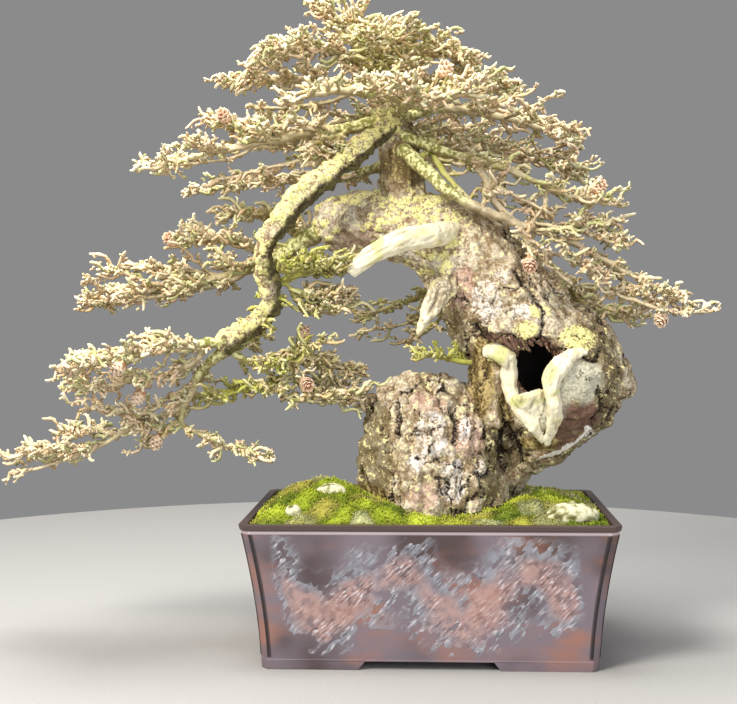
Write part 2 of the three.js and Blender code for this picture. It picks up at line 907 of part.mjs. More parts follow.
// A thin three-sided stem through a few points that tapers to a point.
function stem(points, thick) {
  const last = points.length - 1;
  const along = points[last].clone().sub(points[0]).normalize();
  const reference = Math.abs(along.y) < 0.8 ? new THREE.Vector3(0, 1, 0) : UP;
  const across = new THREE.Vector3().crossVectors(reference, along).normalize();
  const deep = new THREE.Vector3().crossVectors(along, across);
  const vertices = [];
  for (let i = 0; i < last; i++) {
    const r = thick * (1 - 0.45 * (i / last));
    for (let k = 0; k < 3; k++) {
      const angle = (2 * Math.PI * k) / 3;
      const p = points[i]
        .clone()
        .addScaledVector(across, r * Math.cos(angle))
        .addScaledVector(deep, r * Math.sin(angle));
      vertices.push(p.x, p.y, p.z);
    }
  }
  vertices.push(...points[last].toArray());
  const faces = [0, 2, 1];
  for (let k = 0; k < 3; k++) {
    const next = (k + 1) % 3;
    for (let a = 0; a + 3 < 3 * last; a += 3) {
      faces.push(a + k, a + next, a + 3 + next, a + k, a + 3 + next, a + 3 + k);
    }
    faces.push(3 * (last - 1) + k, 3 * (last - 1) + next, 3 * last);
  }
  const geometry = new THREE.BufferGeometry();
  geometry.setAttribute("position", new THREE.Float32BufferAttribute(vertices, 3));
  geometry.setIndex(faces);
  return solidOf(geometry);
}

function armPath({ route, thick }) {
  const last = route.length - 1;
  return pathOf(
    route.map((p, i) => [...p, thick[0] + (thick[1] - thick[0]) * Math.pow(i / last, 0.8)]),
  );
}

// The main stems and the cones of a spray come first, so that side branches keep clear of them.
function spine(spray) {
  const parts = spray.arms.map((arm) => {
    const steps = Math.max(3, arm.route.length - 1);
    const points = Array.from({ length: steps + 1 }, (_, i) => arm.path.point(i / steps));
    points.slice(1).forEach((p, i) => {
      take(spray.name, [points[i], p], arm.path.radius(i / steps).x * 1.1);
    });
    return tube(arm.path, { steps, sides: arm.sides, relief: barkSwell(arm.seed, 0.06) });
  });
  for (const [t, ...place] of spray.cones) {
    const { coneLong, coneWide } = SPRAY_RULE;
    const foot = spray.arms[0].path.point(t);
    const middle = new THREE.Vector3(...place);
    parts.push(pebble(place, [coneWide, coneWide, coneLong], 6, 4));
    parts.push(stem([foot, middle], 2.2));
    take(spray.name, [foot, middle], 2);
    take(spray.name, [middle, middle.clone().addScaledVector(UP, 1)], coneLong);
  }
  return parts;
}

function sideParts(spray, arm) {
  const parts = [];
  for (let j = 0; j < SPRAY_RULE.sideBranches; j += arm.sideStep) {
    const branch = sideBranch(arm, j);
    const points = [0, 0.5, 1].map((q) => sidePoint(branch, q));
    if (!isClear(spray.name, points.slice(1), branch.thick)) continue;
    parts.push(stem(points, branch.thick));
    take(spray.name, points, branch.thick);
    if (j % (arm.sideStep * SPRAY_RULE.twigStep) !== 0) continue;
    for (const i of SPRAY_RULE.twigPick) {
      const ends = twigEnds(branch, i);
      if (!isClear(spray.name, ends, SPRAY_RULE.twigThick)) continue;
      parts.push(stem(ends, SPRAY_RULE.twigThick));
      take(spray.name, ends, SPRAY_RULE.twigThick);
    }
  }
  return parts;
}

// Moss: cushions laid on the soil, each a field of heights over a rectangle.
const MOSS_SWELLS = [
  { at: [-122, -40], size: [64, 60], high: 37 },
  { at: [-60, -96], size: [48, 34], high: 12 },
  { at: [140, 10], size: [46, 66], high: 19 },
  { at: [118, -70], size: [46, 40], high: 12 },
  { at: [-40, 86], size: [70, 40], high: 18 },
  { at: [70, 96], size: [52, 36], high: 14 },
];
const MOSS_SPLIT = { left: -92, right: 112 }; // where the cushions part, across the pot
const MOSS_GRID = 30; // size of one cell
const MOSS_KNOLL = 2.6; // height of the small knolls
const MOSS_LIP = 4; // the cushions are rounded down by this much at their edges

function mossHeight(x, y) {
  const swell = MOSS_SWELLS.reduce((sum, { at, size, high }) => {
    const d = ((x - at[0]) / size[0]) ** 2 + ((y - at[1]) / size[1]) ** 2;
    return sum + high * Math.exp(-d);
  }, 0);
  const knoll = Math.sin(x / 9 + 1.3 * Math.sin(y / 13)) * Math.sin(y / 8 + Math.sin(x / 17));
  const edgeX = Math.min(1, (POT.rimHalf[0] - POT.wall - Math.abs(x)) / 26);
  const edgeY = Math.min(1, (POT.rimHalf[1] - POT.wall - Math.abs(y)) / 26);
  const inside = Math.sqrt(Math.max(0, Math.min(edgeX, edgeY)));
  return MOSS_EDGE + inside * (swell + 4) + MOSS_KNOLL * knoll * inside;
}

// One cushion between two opposite corners.
function mossPatch(low, high) {
  const [width, depth] = [high[0] - low[0], high[1] - low[1]];
  const [columns, rows] = [Math.round(width / MOSS_GRID), Math.round(depth / MOSS_GRID)];
  const vertices = [];
  for (let j = 0; j <= rows; j++) {
    for (let i = 0; i <= columns; i++) {
      const [x, y] = [low[0] + width * (i / columns), low[1] + depth * (j / rows)];
      const atEdge = i % columns === 0 || j % rows === 0;
      vertices.push([x, y, mossHeight(x, y) - (atEdge ? MOSS_LIP : 0)]);
    }
  }
  const at = (i, j) => j * (columns + 1) + i;
  const faces = [];
  for (let j = 0; j < rows; j++) {
    for (let i = 0; i < columns; i++) {
      faces.push(at(i, j), at(i + 1, j), at(i + 1, j + 1), at(i, j), at(i + 1, j + 1), at(i, j + 1));
    }
  }
  const border = [
    ...Array.from({ length: columns }, (_, i) => at(i, 0)),
    ...Array.from({ length: rows }, (_, j) => at(columns, j)),
    ...Array.from({ length: columns }, (_, i) => at(columns - i, rows)),
    ...Array.from({ length: rows }, (_, j) => at(0, rows - j)),
  ];
  const first = vertices.length;
  const floor = SOIL_TOP + GAP;
  const [leanX, leanY] = flare(floor).map((half, i) => half / flare(MOSS_EDGE)[i]);
  vertices.push(...border.map((k) => [vertices[k][0] * leanX, vertices[k][1] * leanY, floor]));
  const middle = vertices.length;
  vertices.push([low[0] + width / 2, low[1] + depth / 2, floor]);
  border.forEach((k, i) => {
    const next = (i + 1) % border.length;
    faces.push(k, first + i, first + next, k, first + next, border[next]);
    faces.push(middle, first + next, first + i);
  });
  const geometry = new THREE.BufferGeometry();
  geometry.setAttribute("position", new THREE.Float32BufferAttribute(vertices.flat(), 3));
  geometry.setIndex(faces);
  return solidOf(geometry);
}

function mossPatches() {
  const { left, right } = MOSS_SPLIT;
  const [halfWidth, halfDepth] = flare(MOSS_EDGE - 4).map((v) => v - POT.wall - 2.6);
  return {
    moss_left: mossPatch([-halfWidth, -halfDepth], [left - GAP, halfDepth]),
    moss_right: mossPatch([right + GAP, -halfDepth], [halfWidth, halfDepth]),
    moss_front: mossPatch([left + GAP, -halfDepth], [right - GAP, -GAP]),
    moss_back: mossPatch([left + GAP, GAP], [right - GAP, halfDepth]),
  };
}

// Pale stones with lichen that lie in the moss.
const STONES = {
  stone_right: { centre: [160, -102, 170], radii: [30, 17, 15] },
  stone_left: { centre: [-112, -66, 190], radii: [18, 12, 11] },
  stone_left_small: { centre: [-152, -106, 174], radii: [9, 8, 8] },
};

const UP = new THREE.Vector3(0, 0, 1);
const LOOKS = {
  ceramic: { color: 0x6b5a58, roughness: 0.45 },
  mesh: { color: 0x2c2f2b, roughness: 0.6 },
  soil: { color: 0x4a3626, roughness: 1 },
  moss: { color: 0x6f8a2c, roughness: 1 },
  stone: { color: 0xd9dcae, roughness: 0.95 },
  bark: { color: 0x86705a, roughness: 0.95 },
  deadwood: { color: 0xece4c6, roughness: 0.8 },
  twig: { color: 0xb8a273, roughness: 0.9 },
};
const materials = Object.fromEntries(
  Object.entries(LOOKS).map(([name, look]) => [
    name,
    new THREE.MeshStandardMaterial({ ...look, metalness: 0 }),
  ]),
);

const assembly = new THREE.Group();

function addNode(name, solid, look) {
  const mesh = new THREE.Mesh(geometryOf(solid), materials[look]);
  mesh.name = name;
  assembly.add(mesh);
  return mesh;
}

const trunk = trunkSolid(0);
const trunkGrown = trunkSolid(GAP);

addNode("pot", potSolid(), "ceramic");
addNode("drain_screen_left", drainScreen(-1), "mesh");
addNode("drain_screen_right", drainScreen(1), "mesh");

const screenRoom = (side) => {
  const half = DRAIN.screen / 2 + GAP;
  return box(
    [side * DRAIN.x - half, -half, POT.floor - 1],
    [side * DRAIN.x + half, half, POT.floor + DRAIN.thick + 2 * GAP],
  );
};
const soil = room(POT.floor + GAP, SOIL_TOP, GAP)
  .subtract(trunkGrown)
  .subtract(screenRoom(-1))
  .subtract(screenRoom(1));
addNode("soil", largestBody(soil), "soil");

const stones = Object.entries(STONES).map(([name, { centre, radii }], i) => {
  addNode(name, pebble(centre, radii, 9, 6, 0.06, i), "stone");
  const grown = radii.map((r) => r + GAP);
  return pebble(centre, grown, 9, 6, 0.06, i);
});
for (const [name, patch] of Object.entries(mossPatches())) {
  const cut = stones.reduce((whole, stone) => whole.subtract(stone), patch.subtract(trunkGrown));
  addNode(name, largestBody(cut), "moss");
}

const trunkMesh = addNode("trunk", trunk, "bark");
trunkMesh.updateMatrixWorld(true);

const upperJin = tube(pathOf(JIN_UPPER), { steps: 8, sides: 8, relief: barkSwell(0.3, 0.03) });
const lowerJin = tube(pathOf(JIN_LOWER), { steps: 6, sides: 7, relief: barkSwell(2.3, 0.08) });
const lips = joined([lip(LIP_LEFT, trunkMesh), lip(LIP_RIGHT, trunkMesh), lipPanel(trunkMesh)]);
addNode("deadwood_jin_upper", largestBody(upperJin.subtract(trunkGrown)), "deadwood");
addNode("deadwood_jin_lower", largestBody(lowerJin.subtract(trunkGrown)), "deadwood");
addNode("deadwood_hollow_lips", largestBody(lips.subtract(trunkGrown)), "deadwood");

// The deadwood and the left limb are in the way of the sprays too.
for (const stations of [JIN_UPPER, JIN_LOWER, LEFT_LIMB]) {
  stations.slice(1).forEach(([x, y, z, r], i) => {
    const before = stations[i];
    take("solid wood", [new THREE.Vector3(...before.slice(0, 3)), new THREE.Vector3(x, y, z)], r);
  });
}
SPRAYS.forEach((spray, number) => {
  spray.arms = [spray, ...(spray.forks ?? [])].map((arm, i) => ({
    ...arm,
    path: armPath(arm),
    seed: number + 30 * i,
    sides: i === 0 ? 5 : 4,
    sideStep: arm.sideStep ?? (i === 0 ? SPRAY_RULE.sideStep : SPRAY_RULE.forkStep),
  }));
});
const spines = SPRAYS.map(spine);
SPRAYS.forEach((spray, number) => {
  const sides = spray.arms.flatMap((arm) => sideParts(spray, arm));
  const whole = joined([...spines[number], ...sides]);
  addNode(`spray_${spray.name}`, largestBody(whole.subtract(trunkGrown)), "twig");
});

// The origin is under the middle of the whole object, on the surface that it stands on.
const bounds = new THREE.Box3().setFromObject(assembly);
const middle = bounds.getCenter(new THREE.Vector3());
assembly.position.set(-middle.x, -middle.y, -bounds.min.z);

const bonsai = new THREE.Group();
bonsai.add(assembly);

export default bonsai;
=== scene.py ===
"""The looks of a larch bonsai in its pot: bark, deadwood, twigs, cones, moss, soil, stones and glaze."""

import logging
import math
from dataclasses import dataclass, field
from enum import Enum
from itertools import product

import bpy
import numpy as np
from mathutils import Matrix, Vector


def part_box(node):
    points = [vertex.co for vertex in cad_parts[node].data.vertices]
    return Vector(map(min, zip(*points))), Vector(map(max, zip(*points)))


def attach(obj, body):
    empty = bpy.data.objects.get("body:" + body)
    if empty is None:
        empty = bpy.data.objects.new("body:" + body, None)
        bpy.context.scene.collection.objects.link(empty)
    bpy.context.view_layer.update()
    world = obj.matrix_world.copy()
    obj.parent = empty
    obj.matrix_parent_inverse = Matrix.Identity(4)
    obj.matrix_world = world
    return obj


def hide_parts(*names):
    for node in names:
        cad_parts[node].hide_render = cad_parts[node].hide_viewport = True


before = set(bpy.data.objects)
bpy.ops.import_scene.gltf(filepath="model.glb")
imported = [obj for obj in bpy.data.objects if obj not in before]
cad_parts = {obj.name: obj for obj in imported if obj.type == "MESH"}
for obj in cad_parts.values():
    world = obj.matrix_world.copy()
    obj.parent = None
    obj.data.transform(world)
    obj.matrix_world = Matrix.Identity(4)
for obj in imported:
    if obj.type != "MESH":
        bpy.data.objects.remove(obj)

log = logging.getLogger("bonsai")

Array = np.ndarray
Finish = bpy.types.Material
Socket = bpy.types.NodeSocket
Size = float | tuple[float, float, float]  # one width in millimetres, or one for each axis
Span = tuple[float, float]  # where a smooth step starts and where it ends, or two half sizes

MM = 0.001
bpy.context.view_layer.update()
POT_LOW, POT_HIGH = (np.array(corner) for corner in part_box("pot"))
# The tree and the pot are laid out in millimetres from the middle of the pot's foot.
SHIFT = np.array([(POT_LOW[0] + POT_HIGH[0]) / 2, (POT_LOW[1] + POT_HIGH[1]) / 2, 0.0])
UP = np.array([0.0, 0.0, 1.0])


# Numbers that stay the same each run

# Factors of the draws, large and unrelated, so that the fraction of the sine looks random.
SPREAD = 43758.5453
DRAW_STEP, DRAW_SALT = 12.9898, 78.233
CELL_STEP, CELL_SALT = np.array([127.1, 311.7, 74.7]), 53.31
LAYER_SALT = 7.3  # from one layer of noise to the next


def draw(index: Array, salt: float) -> Array:
    """Seeded draws between 0 and 1: the fraction of a large sine.

    Args:
        index: Which draw, one number or an array of them.
        salt: Which list of draws.

    Returns:
        The draws, in the shape of index.
    """
    wave = np.sin(np.asarray(index, dtype=float) * DRAW_STEP + salt * DRAW_SALT) * SPREAD
    return wave - np.floor(wave)


def cell_draw(cells: Array, salt: float) -> Array:
    """One draw between 0 and 1 for each whole-number cell of a lattice.

    Args:
        cells: Lattice cells, one row of three numbers each.
        salt: Which list of draws.

    Returns:
        One draw for each row.
    """
    wave = np.sin(cells @ CELL_STEP + salt * CELL_SALT) * SPREAD
    return wave - np.floor(wave)


def soft_noise(points: Array, size: Size, salt: float) -> Array:
    """Smooth noise from -1 to 1: draws at lattice corners, blended by the cubic ease 3f^2 - 2f^3.

    Args:
        points: Places in millimetres, one row each.
        size: Width of a lattice cell in millimetres, one number or three.
        salt: Which noise.

    Returns:
        One value for each point.
    """
    place = points / size
    base = np.floor(place)
    share = ease(place - base, 0, 1)
    total = np.zeros(len(points))
    for corner in product((0.0, 1.0), repeat=3):
        step = np.array(corner)
        weight = np.prod(np.where(step > 0, share, 1 - share), axis=1)
        total += weight * cell_draw(base + step, salt)
    return 2 * total - 1


def strayed(points: Array, size: float, salt: float) -> Array:
    """A step from -1 to 1 along each axis for each point: three soft noises of the same size."""
    return np.stack([soft_noise(points, size, salt + k) for k in range(3)], axis=1)


def layered(points: Array, size: Size, salt: float, layers: int) -> Array:
    """Layers of soft noise, a row for each: half the size and half the height of the one before."""
    return np.array([
        soft_noise(points, np.asarray(size) / 2**k, salt + LAYER_SALT * k) * 0.5**k for k in range(layers)
    ])


def rough_noise(points: Array, size: Size, salt: float, layers: int) -> Array:
    """Layered noise: the sum of the layers, brought to about -1 to 1."""
    return layered(points, size, salt, layers).sum(axis=0) / 1.6


def billow(points: Array, size: Size, salt: float, layers: int) -> Array:
    """Rounded lumps with sharp valleys between: the sum of each layer's |noise|, about 0 to 1."""
    return np.abs(layered(points, size, salt, layers)).sum(axis=0) * 1.4


def cracked(points: Array, size: Size, salt: float) -> tuple[Array, Array]:
    """Plates between cracks: the second nearest seed's distance less the nearest one's.

    Args:
        points: Places in millimetres, one row each.
        size: Width of a plate, one number or three.
        salt: Which pattern.

    Returns:
        How far each point lies from a crack, from 0 to about 1, and its plate's own draw.
    """
    place = points / size
    base = np.floor(place)
    first = np.full(len(points), 9.0)
    second = np.full(len(points), 9.0)
    owner = np.zeros(len(points))
    for corner in product((-1.0, 0.0, 1.0), repeat=3):
        cell = base + np.array(corner)
        away = place - cell - np.stack([cell_draw(cell, salt + k) for k in (0.0, 1.7, 3.9)], axis=1)
        gap = np.linalg.norm(away, axis=1)
        nearer = gap < first
        second = np.where(nearer, first, np.minimum(second, gap))
        owner = np.where(nearer, cell_draw(cell, salt + 5.1), owner)
        first = np.where(nearer, gap, first)
    return second - first, owner


def ease(value: Array, low: float, high: float) -> Array:
    """A smooth step: 0 below low, 1 above high, and the cubic ease between them."""
    part = np.clip((value - low) / (high - low), 0, 1)
    return part * part * (3 - 2 * part)


def near_line(points: Array, line: list[tuple[float, ...]]) -> Array:
    """The distance in millimetres from each point to the nearest of the straight runs of a line.

    Args:
        points: Places, one row each.
        line: The places that the runs join.

    Returns:
        One distance for each point.
    """
    corners = np.array(line, dtype=float)
    best = np.full(len(points), 1e9)
    for start, end in zip(corners[:-1], corners[1:]):
        run = end - start
        share = np.clip((points - start) @ run / (run @ run), 0, 1)
        best = np.minimum(best, np.linalg.norm(points - start - share[:, None] * run, axis=1))
    return best


class Route:
    """A smooth line through stations: the Catmull-Rom cubic, with mirrored points past both ends."""

    def __init__(self, stations: list[tuple[float, ...]] | Array) -> None:
        """Keeps the stations. Any numbers after x, y and z, such as a radius, are blended as well."""
        points = np.array(stations, dtype=float)
        first = 2 * points[0] - points[1]
        last = 2 * points[-1] - points[-2]
        self.points = np.vstack([first, points, last])
        self.spans = len(points) - 1

    def at(self, share: Array) -> Array:
        """The blended stations at shares from 0 to 1.

        Args:
            share: Shares along the route.

        Returns:
            One row for each share.
        """
        place = np.clip(np.asarray(share, dtype=float), 0, 1) * self.spans
        start = np.minimum(place.astype(int), self.spans - 1)
        f = (place - start)[:, None]
        a, b, c, d = (self.points[start + k] for k in range(4))
        slope_b, slope_c = (c - a) / 2, (d - b) / 2
        cubic = 2 * b - 2 * c + slope_b + slope_c
        square = 3 * c - 3 * b - 2 * slope_b - slope_c
        return cubic * f**3 + square * f**2 + slope_b * f + b

    def along(self, share: Array) -> Array:
        """Unit directions of the route at the shares, from the difference of close places."""
        step = 1e-4
        run = self.at(np.minimum(share + step, 1))[:, :3] - self.at(np.maximum(share - step, 0))[:, :3]
        return unit(run)


def by_turns(index: Array) -> Array:
    """1 for even numbers and -1 for odd ones."""
    return np.where(index % 2 == 0, 1.0, -1.0)


def unit(rows: Array) -> Array:
    """Rows scaled to length 1."""
    return rows / np.maximum(np.linalg.norm(rows, axis=-1, keepdims=True), 1e-9)


def mix(*terms: tuple[Array, Array]) -> Array:
    """The sum of vectors times their factors, where a factor has one number for each vector."""
    return sum(vectors * np.asarray(factor)[..., None] for vectors, factor in terms)


# Meshes from arrays

@dataclass
class Skin:
    """A mesh in the making: places in millimetres, faces of three or four corners, and attributes."""

    points: Array
    faces: list[Array]
    marks: dict[str, Array] = field(default_factory=dict)

    def joined(self, other: "Skin") -> "Skin":
        """This skin and another one as one skin."""
        ours, theirs = np.zeros(len(self.points)), np.zeros(len(other.points))
        marks = {
            name: np.concatenate([self.marks.get(name, ours), other.marks.get(name, theirs)])
            for name in sorted(set(self.marks) | set(other.marks))
        }
        faces = self.faces + [f + len(self.points) for f in other.faces]
        return Skin(np.vstack([self.points, other.points]), faces, marks)


def together(skins: list[Skin]) -> Skin:
    """All the skins as one."""
    whole = skins[0]
    for skin in skins[1:]:
        whole = whole.joined(skin)
    return whole


def placed(name: str, data: bpy.types.ID) -> bpy.types.Object:
    """A new object of the scene that shows the data."""
    made = bpy.data.objects.new(name, data)
    bpy.context.scene.collection.objects.link(made)
    return made


def dressed(node: str, material: Finish) -> bpy.types.Object:
    """A CAD node that has been given its finish."""
    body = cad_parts[node]
    body.data.materials.clear()
    body.data.materials.append(material)
    log.info("%s: the CAD node itself, finish %s", node, material.name)
    return body


def piece(
    name: str, skin: Skin, material: Finish, nodes: list[str], smooth: bool = True
) -> None:
    """Makes a finished piece: its mesh, attributes and material, and hides the CAD nodes that it stands
    for.

    Args:
        name: The piece's name.
        skin: The shape, in millimetres from the middle of the pot's foot.
        material: The finish.
        nodes: The CAD nodes that the piece stands for.
        smooth: Whether faces are shaded smooth.
    """
    mesh = bpy.data.meshes.new(name)
    corners = np.concatenate([f.ravel() for f in skin.faces]).astype(np.int32)
    counts = np.concatenate([np.full(len(f), f.shape[1]) for f in skin.faces])
    starts = np.concatenate([[0], np.cumsum(counts)[:-1]]).astype(np.int32)
    mesh.vertices.add(len(skin.points))
    mesh.vertices.foreach_set("co", (skin.points * MM + SHIFT).astype(np.float32).ravel())
    mesh.loops.add(len(corners))
    mesh.loops.foreach_set("vertex_index", corners)
    mesh.polygons.add(len(counts))
    mesh.polygons.foreach_set("loop_start", starts)
    mesh.polygons.foreach_set("use_smooth", np.full(len(counts), smooth))
    for mark, values in skin.marks.items():
        layer = mesh.attributes.new(mark, "FLOAT", "POINT")
        layer.data.foreach_set("value", np.asarray(values, dtype=np.float32))
    mesh.update(calc_edges=True)
    mesh.validate()
    mesh.materials.append(material)
    made = placed(name, mesh)
    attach(made, "root")
    if nodes:
        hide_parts(*nodes)
    log.info("%s: %d triangles, finish %s", name, int(np.sum(counts - 2)), material.name)


def tube_walls(rings: int, sides: int) -> Array:
    """Four-cornered faces between the rings of one tube whose places follow ring after ring."""
    here = np.arange(sides)
    after = (here + 1) % sides
    first = np.arange(rings - 1)[:, None] * sides
    corners = [first + here, first + after, first + sides + after, first + sides + here]
    return np.stack(corners, axis=2).reshape(-1, 4)


def bundle(paths: Array, radii: Array, sides: int, marks: dict[str, Array | float]) -> Skin:
    """Many closed tubes at once. Ring k of tube n goes round paths[n, k] at radii[n, k].

    Each ring lies across its path. Its first side points along the part of +Y that is at right angles
    to the tube's own chord, or of +Z for a tube that runs along Y.

    Args:
        paths: Ring centres, tubes by rings by three.
        radii: Ring radii, tubes by rings.
        sides: Corners of a ring.
        marks: Attributes, each a number or an array that fits tubes by rings.

    Returns:
        The tubes as one skin.
    """
    tubes, rings = radii.shape
    ahead = unit(np.gradient(paths, axis=1))
    chord = unit(paths[:, -1] - paths[:, 0])
    reference = np.where(np.abs(chord[:, 1:2]) < 0.8, [[0.0, 1.0, 0.0]], [[0.0, 0.0, 1.0]])[:, None, :]
    deep = unit(reference - ahead * np.sum(reference * ahead, axis=2, keepdims=True))
    across = np.cross(deep, ahead)
    turn = 2 * np.pi * np.arange(sides) / sides
    ring = mix((across[:, :, None], np.cos(turn)), (deep[:, :, None], np.sin(turn)))
    points = (paths[:, :, None] + ring * radii[:, :, None, None]).reshape(-1, 3)
    k = np.arange(sides)
    start = np.arange(tubes)[:, None] * rings * sides
    walls = (tube_walls(rings, sides)[None] + start[:, :, None]).reshape(-1, 4)
    caps = [start + k[::-1], start + (rings - 1) * sides + k]
    spread = {
        name: np.repeat(np.broadcast_to(value, radii.shape).reshape(-1), sides)
        for name, value in marks.items()
    }
    # Under is 1 on the side of each ring that faces down: the twigs' and the bark's finishes paint shade by
    # it.
    spread["under"] = ease(-ring[..., 2].reshape(-1), -0.1, 0.9)
    return Skin(points, [walls[:, ::-1], *[cap[:, ::-1] for cap in caps]], spread)


def sheet_grid(columns: int, rows: int) -> Array:
    """Four-cornered faces of a grid of columns by rows of places, rows following each other."""
    i, j = np.meshgrid(np.arange(columns - 1), np.arange(rows - 1))
    a = (j * columns + i).ravel()
    return np.stack([a, a + 1, a + columns + 1, a + columns], axis=1)


def rim_of(columns: int, rows: int) -> Array:
    """The border places of a grid, going round once."""
    bottom = np.arange(columns - 1)
    right = columns - 1 + np.arange(rows - 1) * columns
    top = rows * columns - 1 - np.arange(columns - 1)
    left = (rows - 1 - np.arange(rows - 1)) * columns
    return np.concatenate([bottom, right, top, left])


def slab(front: Array, columns: int, rows: int, sink: Array, marks: dict[str, Array]) -> Skin:
    """A closed sheet: the front grid, and a copy of its border moved by sink and closed by a fan.

    Args:
        front: Front places, row after row.
        columns: Places in a row.
        rows: Number of rows.
        sink: The step from the front's border to the back's, in millimetres.
        marks: Attributes of the front places. They are 0 at the back.

    Returns:
        The closed skin.
    """
    border = rim_of(columns, rows)
    back = front[border] + sink
    middle = back.mean(axis=0)
    count = len(front)
    n = len(border)
    here = np.arange(n)
    after = (here + 1) % n
    walls = np.stack([border[after], border[here], count + here, count + after], axis=1)
    fan = np.stack([count + after, count + here, np.full(n, count + n)], axis=1)
    points = np.vstack([front, back, middle])
    marks = {name: np.pad(values, (0, n + 1)) for name, values in marks.items()}
    return Skin(points, [sheet_grid(columns, rows), walls, fan], marks)


def gathered(index: Array, rows: Array, count: int) -> Array:
    """The sums of the rows that have the same index, one for each index below count."""
    return np.stack([np.bincount(index, weights=column, minlength=count) for column in rows.T], axis=1)


SMOOTHING = (0.5, -0.53)  # in, and a little further out again, so that thin parts don't shrink


def remeshed(node: str, voxel: float, rounds: int) -> Skin:
    """A CAD node's shape as an even net of small faces, smoothed.

    Args:
        node: The CAD node that is copied.
        voxel: Width of the net's faces in millimetres.
        rounds: How often the net is smoothed. Each time, every place moves by the shares of
            SMOOTHING towards the mean of its neighbours.

    Returns:
        The skin, in millimetres from the middle of the pot's foot.
    """
    copy = placed("scratch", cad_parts[node].data.copy())
    weld = copy.modifiers.new("weld", "WELD")
    weld.merge_threshold = 1e-6
    net = copy.modifiers.new("net", "REMESH")
    net.mode = "VOXEL"
    net.voxel_size = voxel * MM
    shaped = copy.evaluated_get(bpy.context.evaluated_depsgraph_get()).to_mesh()
    points = np.zeros(len(shaped.vertices) * 3, dtype=np.float32)
    shaped.vertices.foreach_get("co", points)
    points = (points.reshape(-1, 3).astype(float) - SHIFT) / MM
    corners = np.zeros(len(shaped.loops), dtype=np.int32)
    shaped.loops.foreach_get("vertex_index", corners)
    edges = np.zeros(len(shaped.edges) * 2, dtype=np.int32)
    shaped.edges.foreach_get("vertices", edges)
    starts, ends = edges.reshape(-1, 2).T
    bpy.data.objects.remove(copy, do_unlink=True)
    here, there = np.concatenate([starts, ends]), np.concatenate([ends, starts])
    ways = np.bincount(here, minlength=len(points))[:, None]
    for share in SMOOTHING * rounds:
        total = gathered(here, points[there], len(points))
        points = points + share * (total / np.maximum(ways, 1) - points)
    return Skin(points, [corners.reshape(-1, 4)])


def outward(skin: Skin) -> Array:
    """Unit normals of a net of four-cornered faces: each face's cross product, summed at its corners.

    Args:
        skin: The net.

    Returns:
        One normal for each place.
    """
    faces = skin.faces[0]
    a, b, c, d = (skin.points[faces[:, k]] for k in range(4))
    facing = np.cross(c - a, d - b)
    return unit(sum(gathered(faces[:, k], facing, len(skin.points)) for k in range(4)))


# Finishes

def linear(colour: str) -> tuple[float, float, float, float]:
    """An sRGB hex colour as linear red, green, blue and alpha."""
    parts = [int(colour[k : k + 2], 16) / 255 for k in (1, 3, 5)]
    low = [p / 12.92 if p <= 0.04045 else ((p + 0.055) / 1.055) ** 2.4 for p in parts]
    return (*low, 1.0)


def add_node(
    tree: bpy.types.NodeTree, kind: str, links: dict | None = None, **settings: object
) -> bpy.types.Node:
    """Adds a node with its settings and links.

    Args:
        tree: The material's node tree.
        kind: The node's type.
        links: For each input, by name or number, a socket to link or a value to set.
        settings: Properties of the node.

    Returns:
        The node.
    """
    made = tree.nodes.new(kind)
    for name, value in settings.items():
        setattr(made, name, value)
    for key, value in (links or {}).items():
        if isinstance(value, Socket):
            tree.links.new(value, made.inputs[key])
        else:
            made.inputs[key].default_value = value
    return made


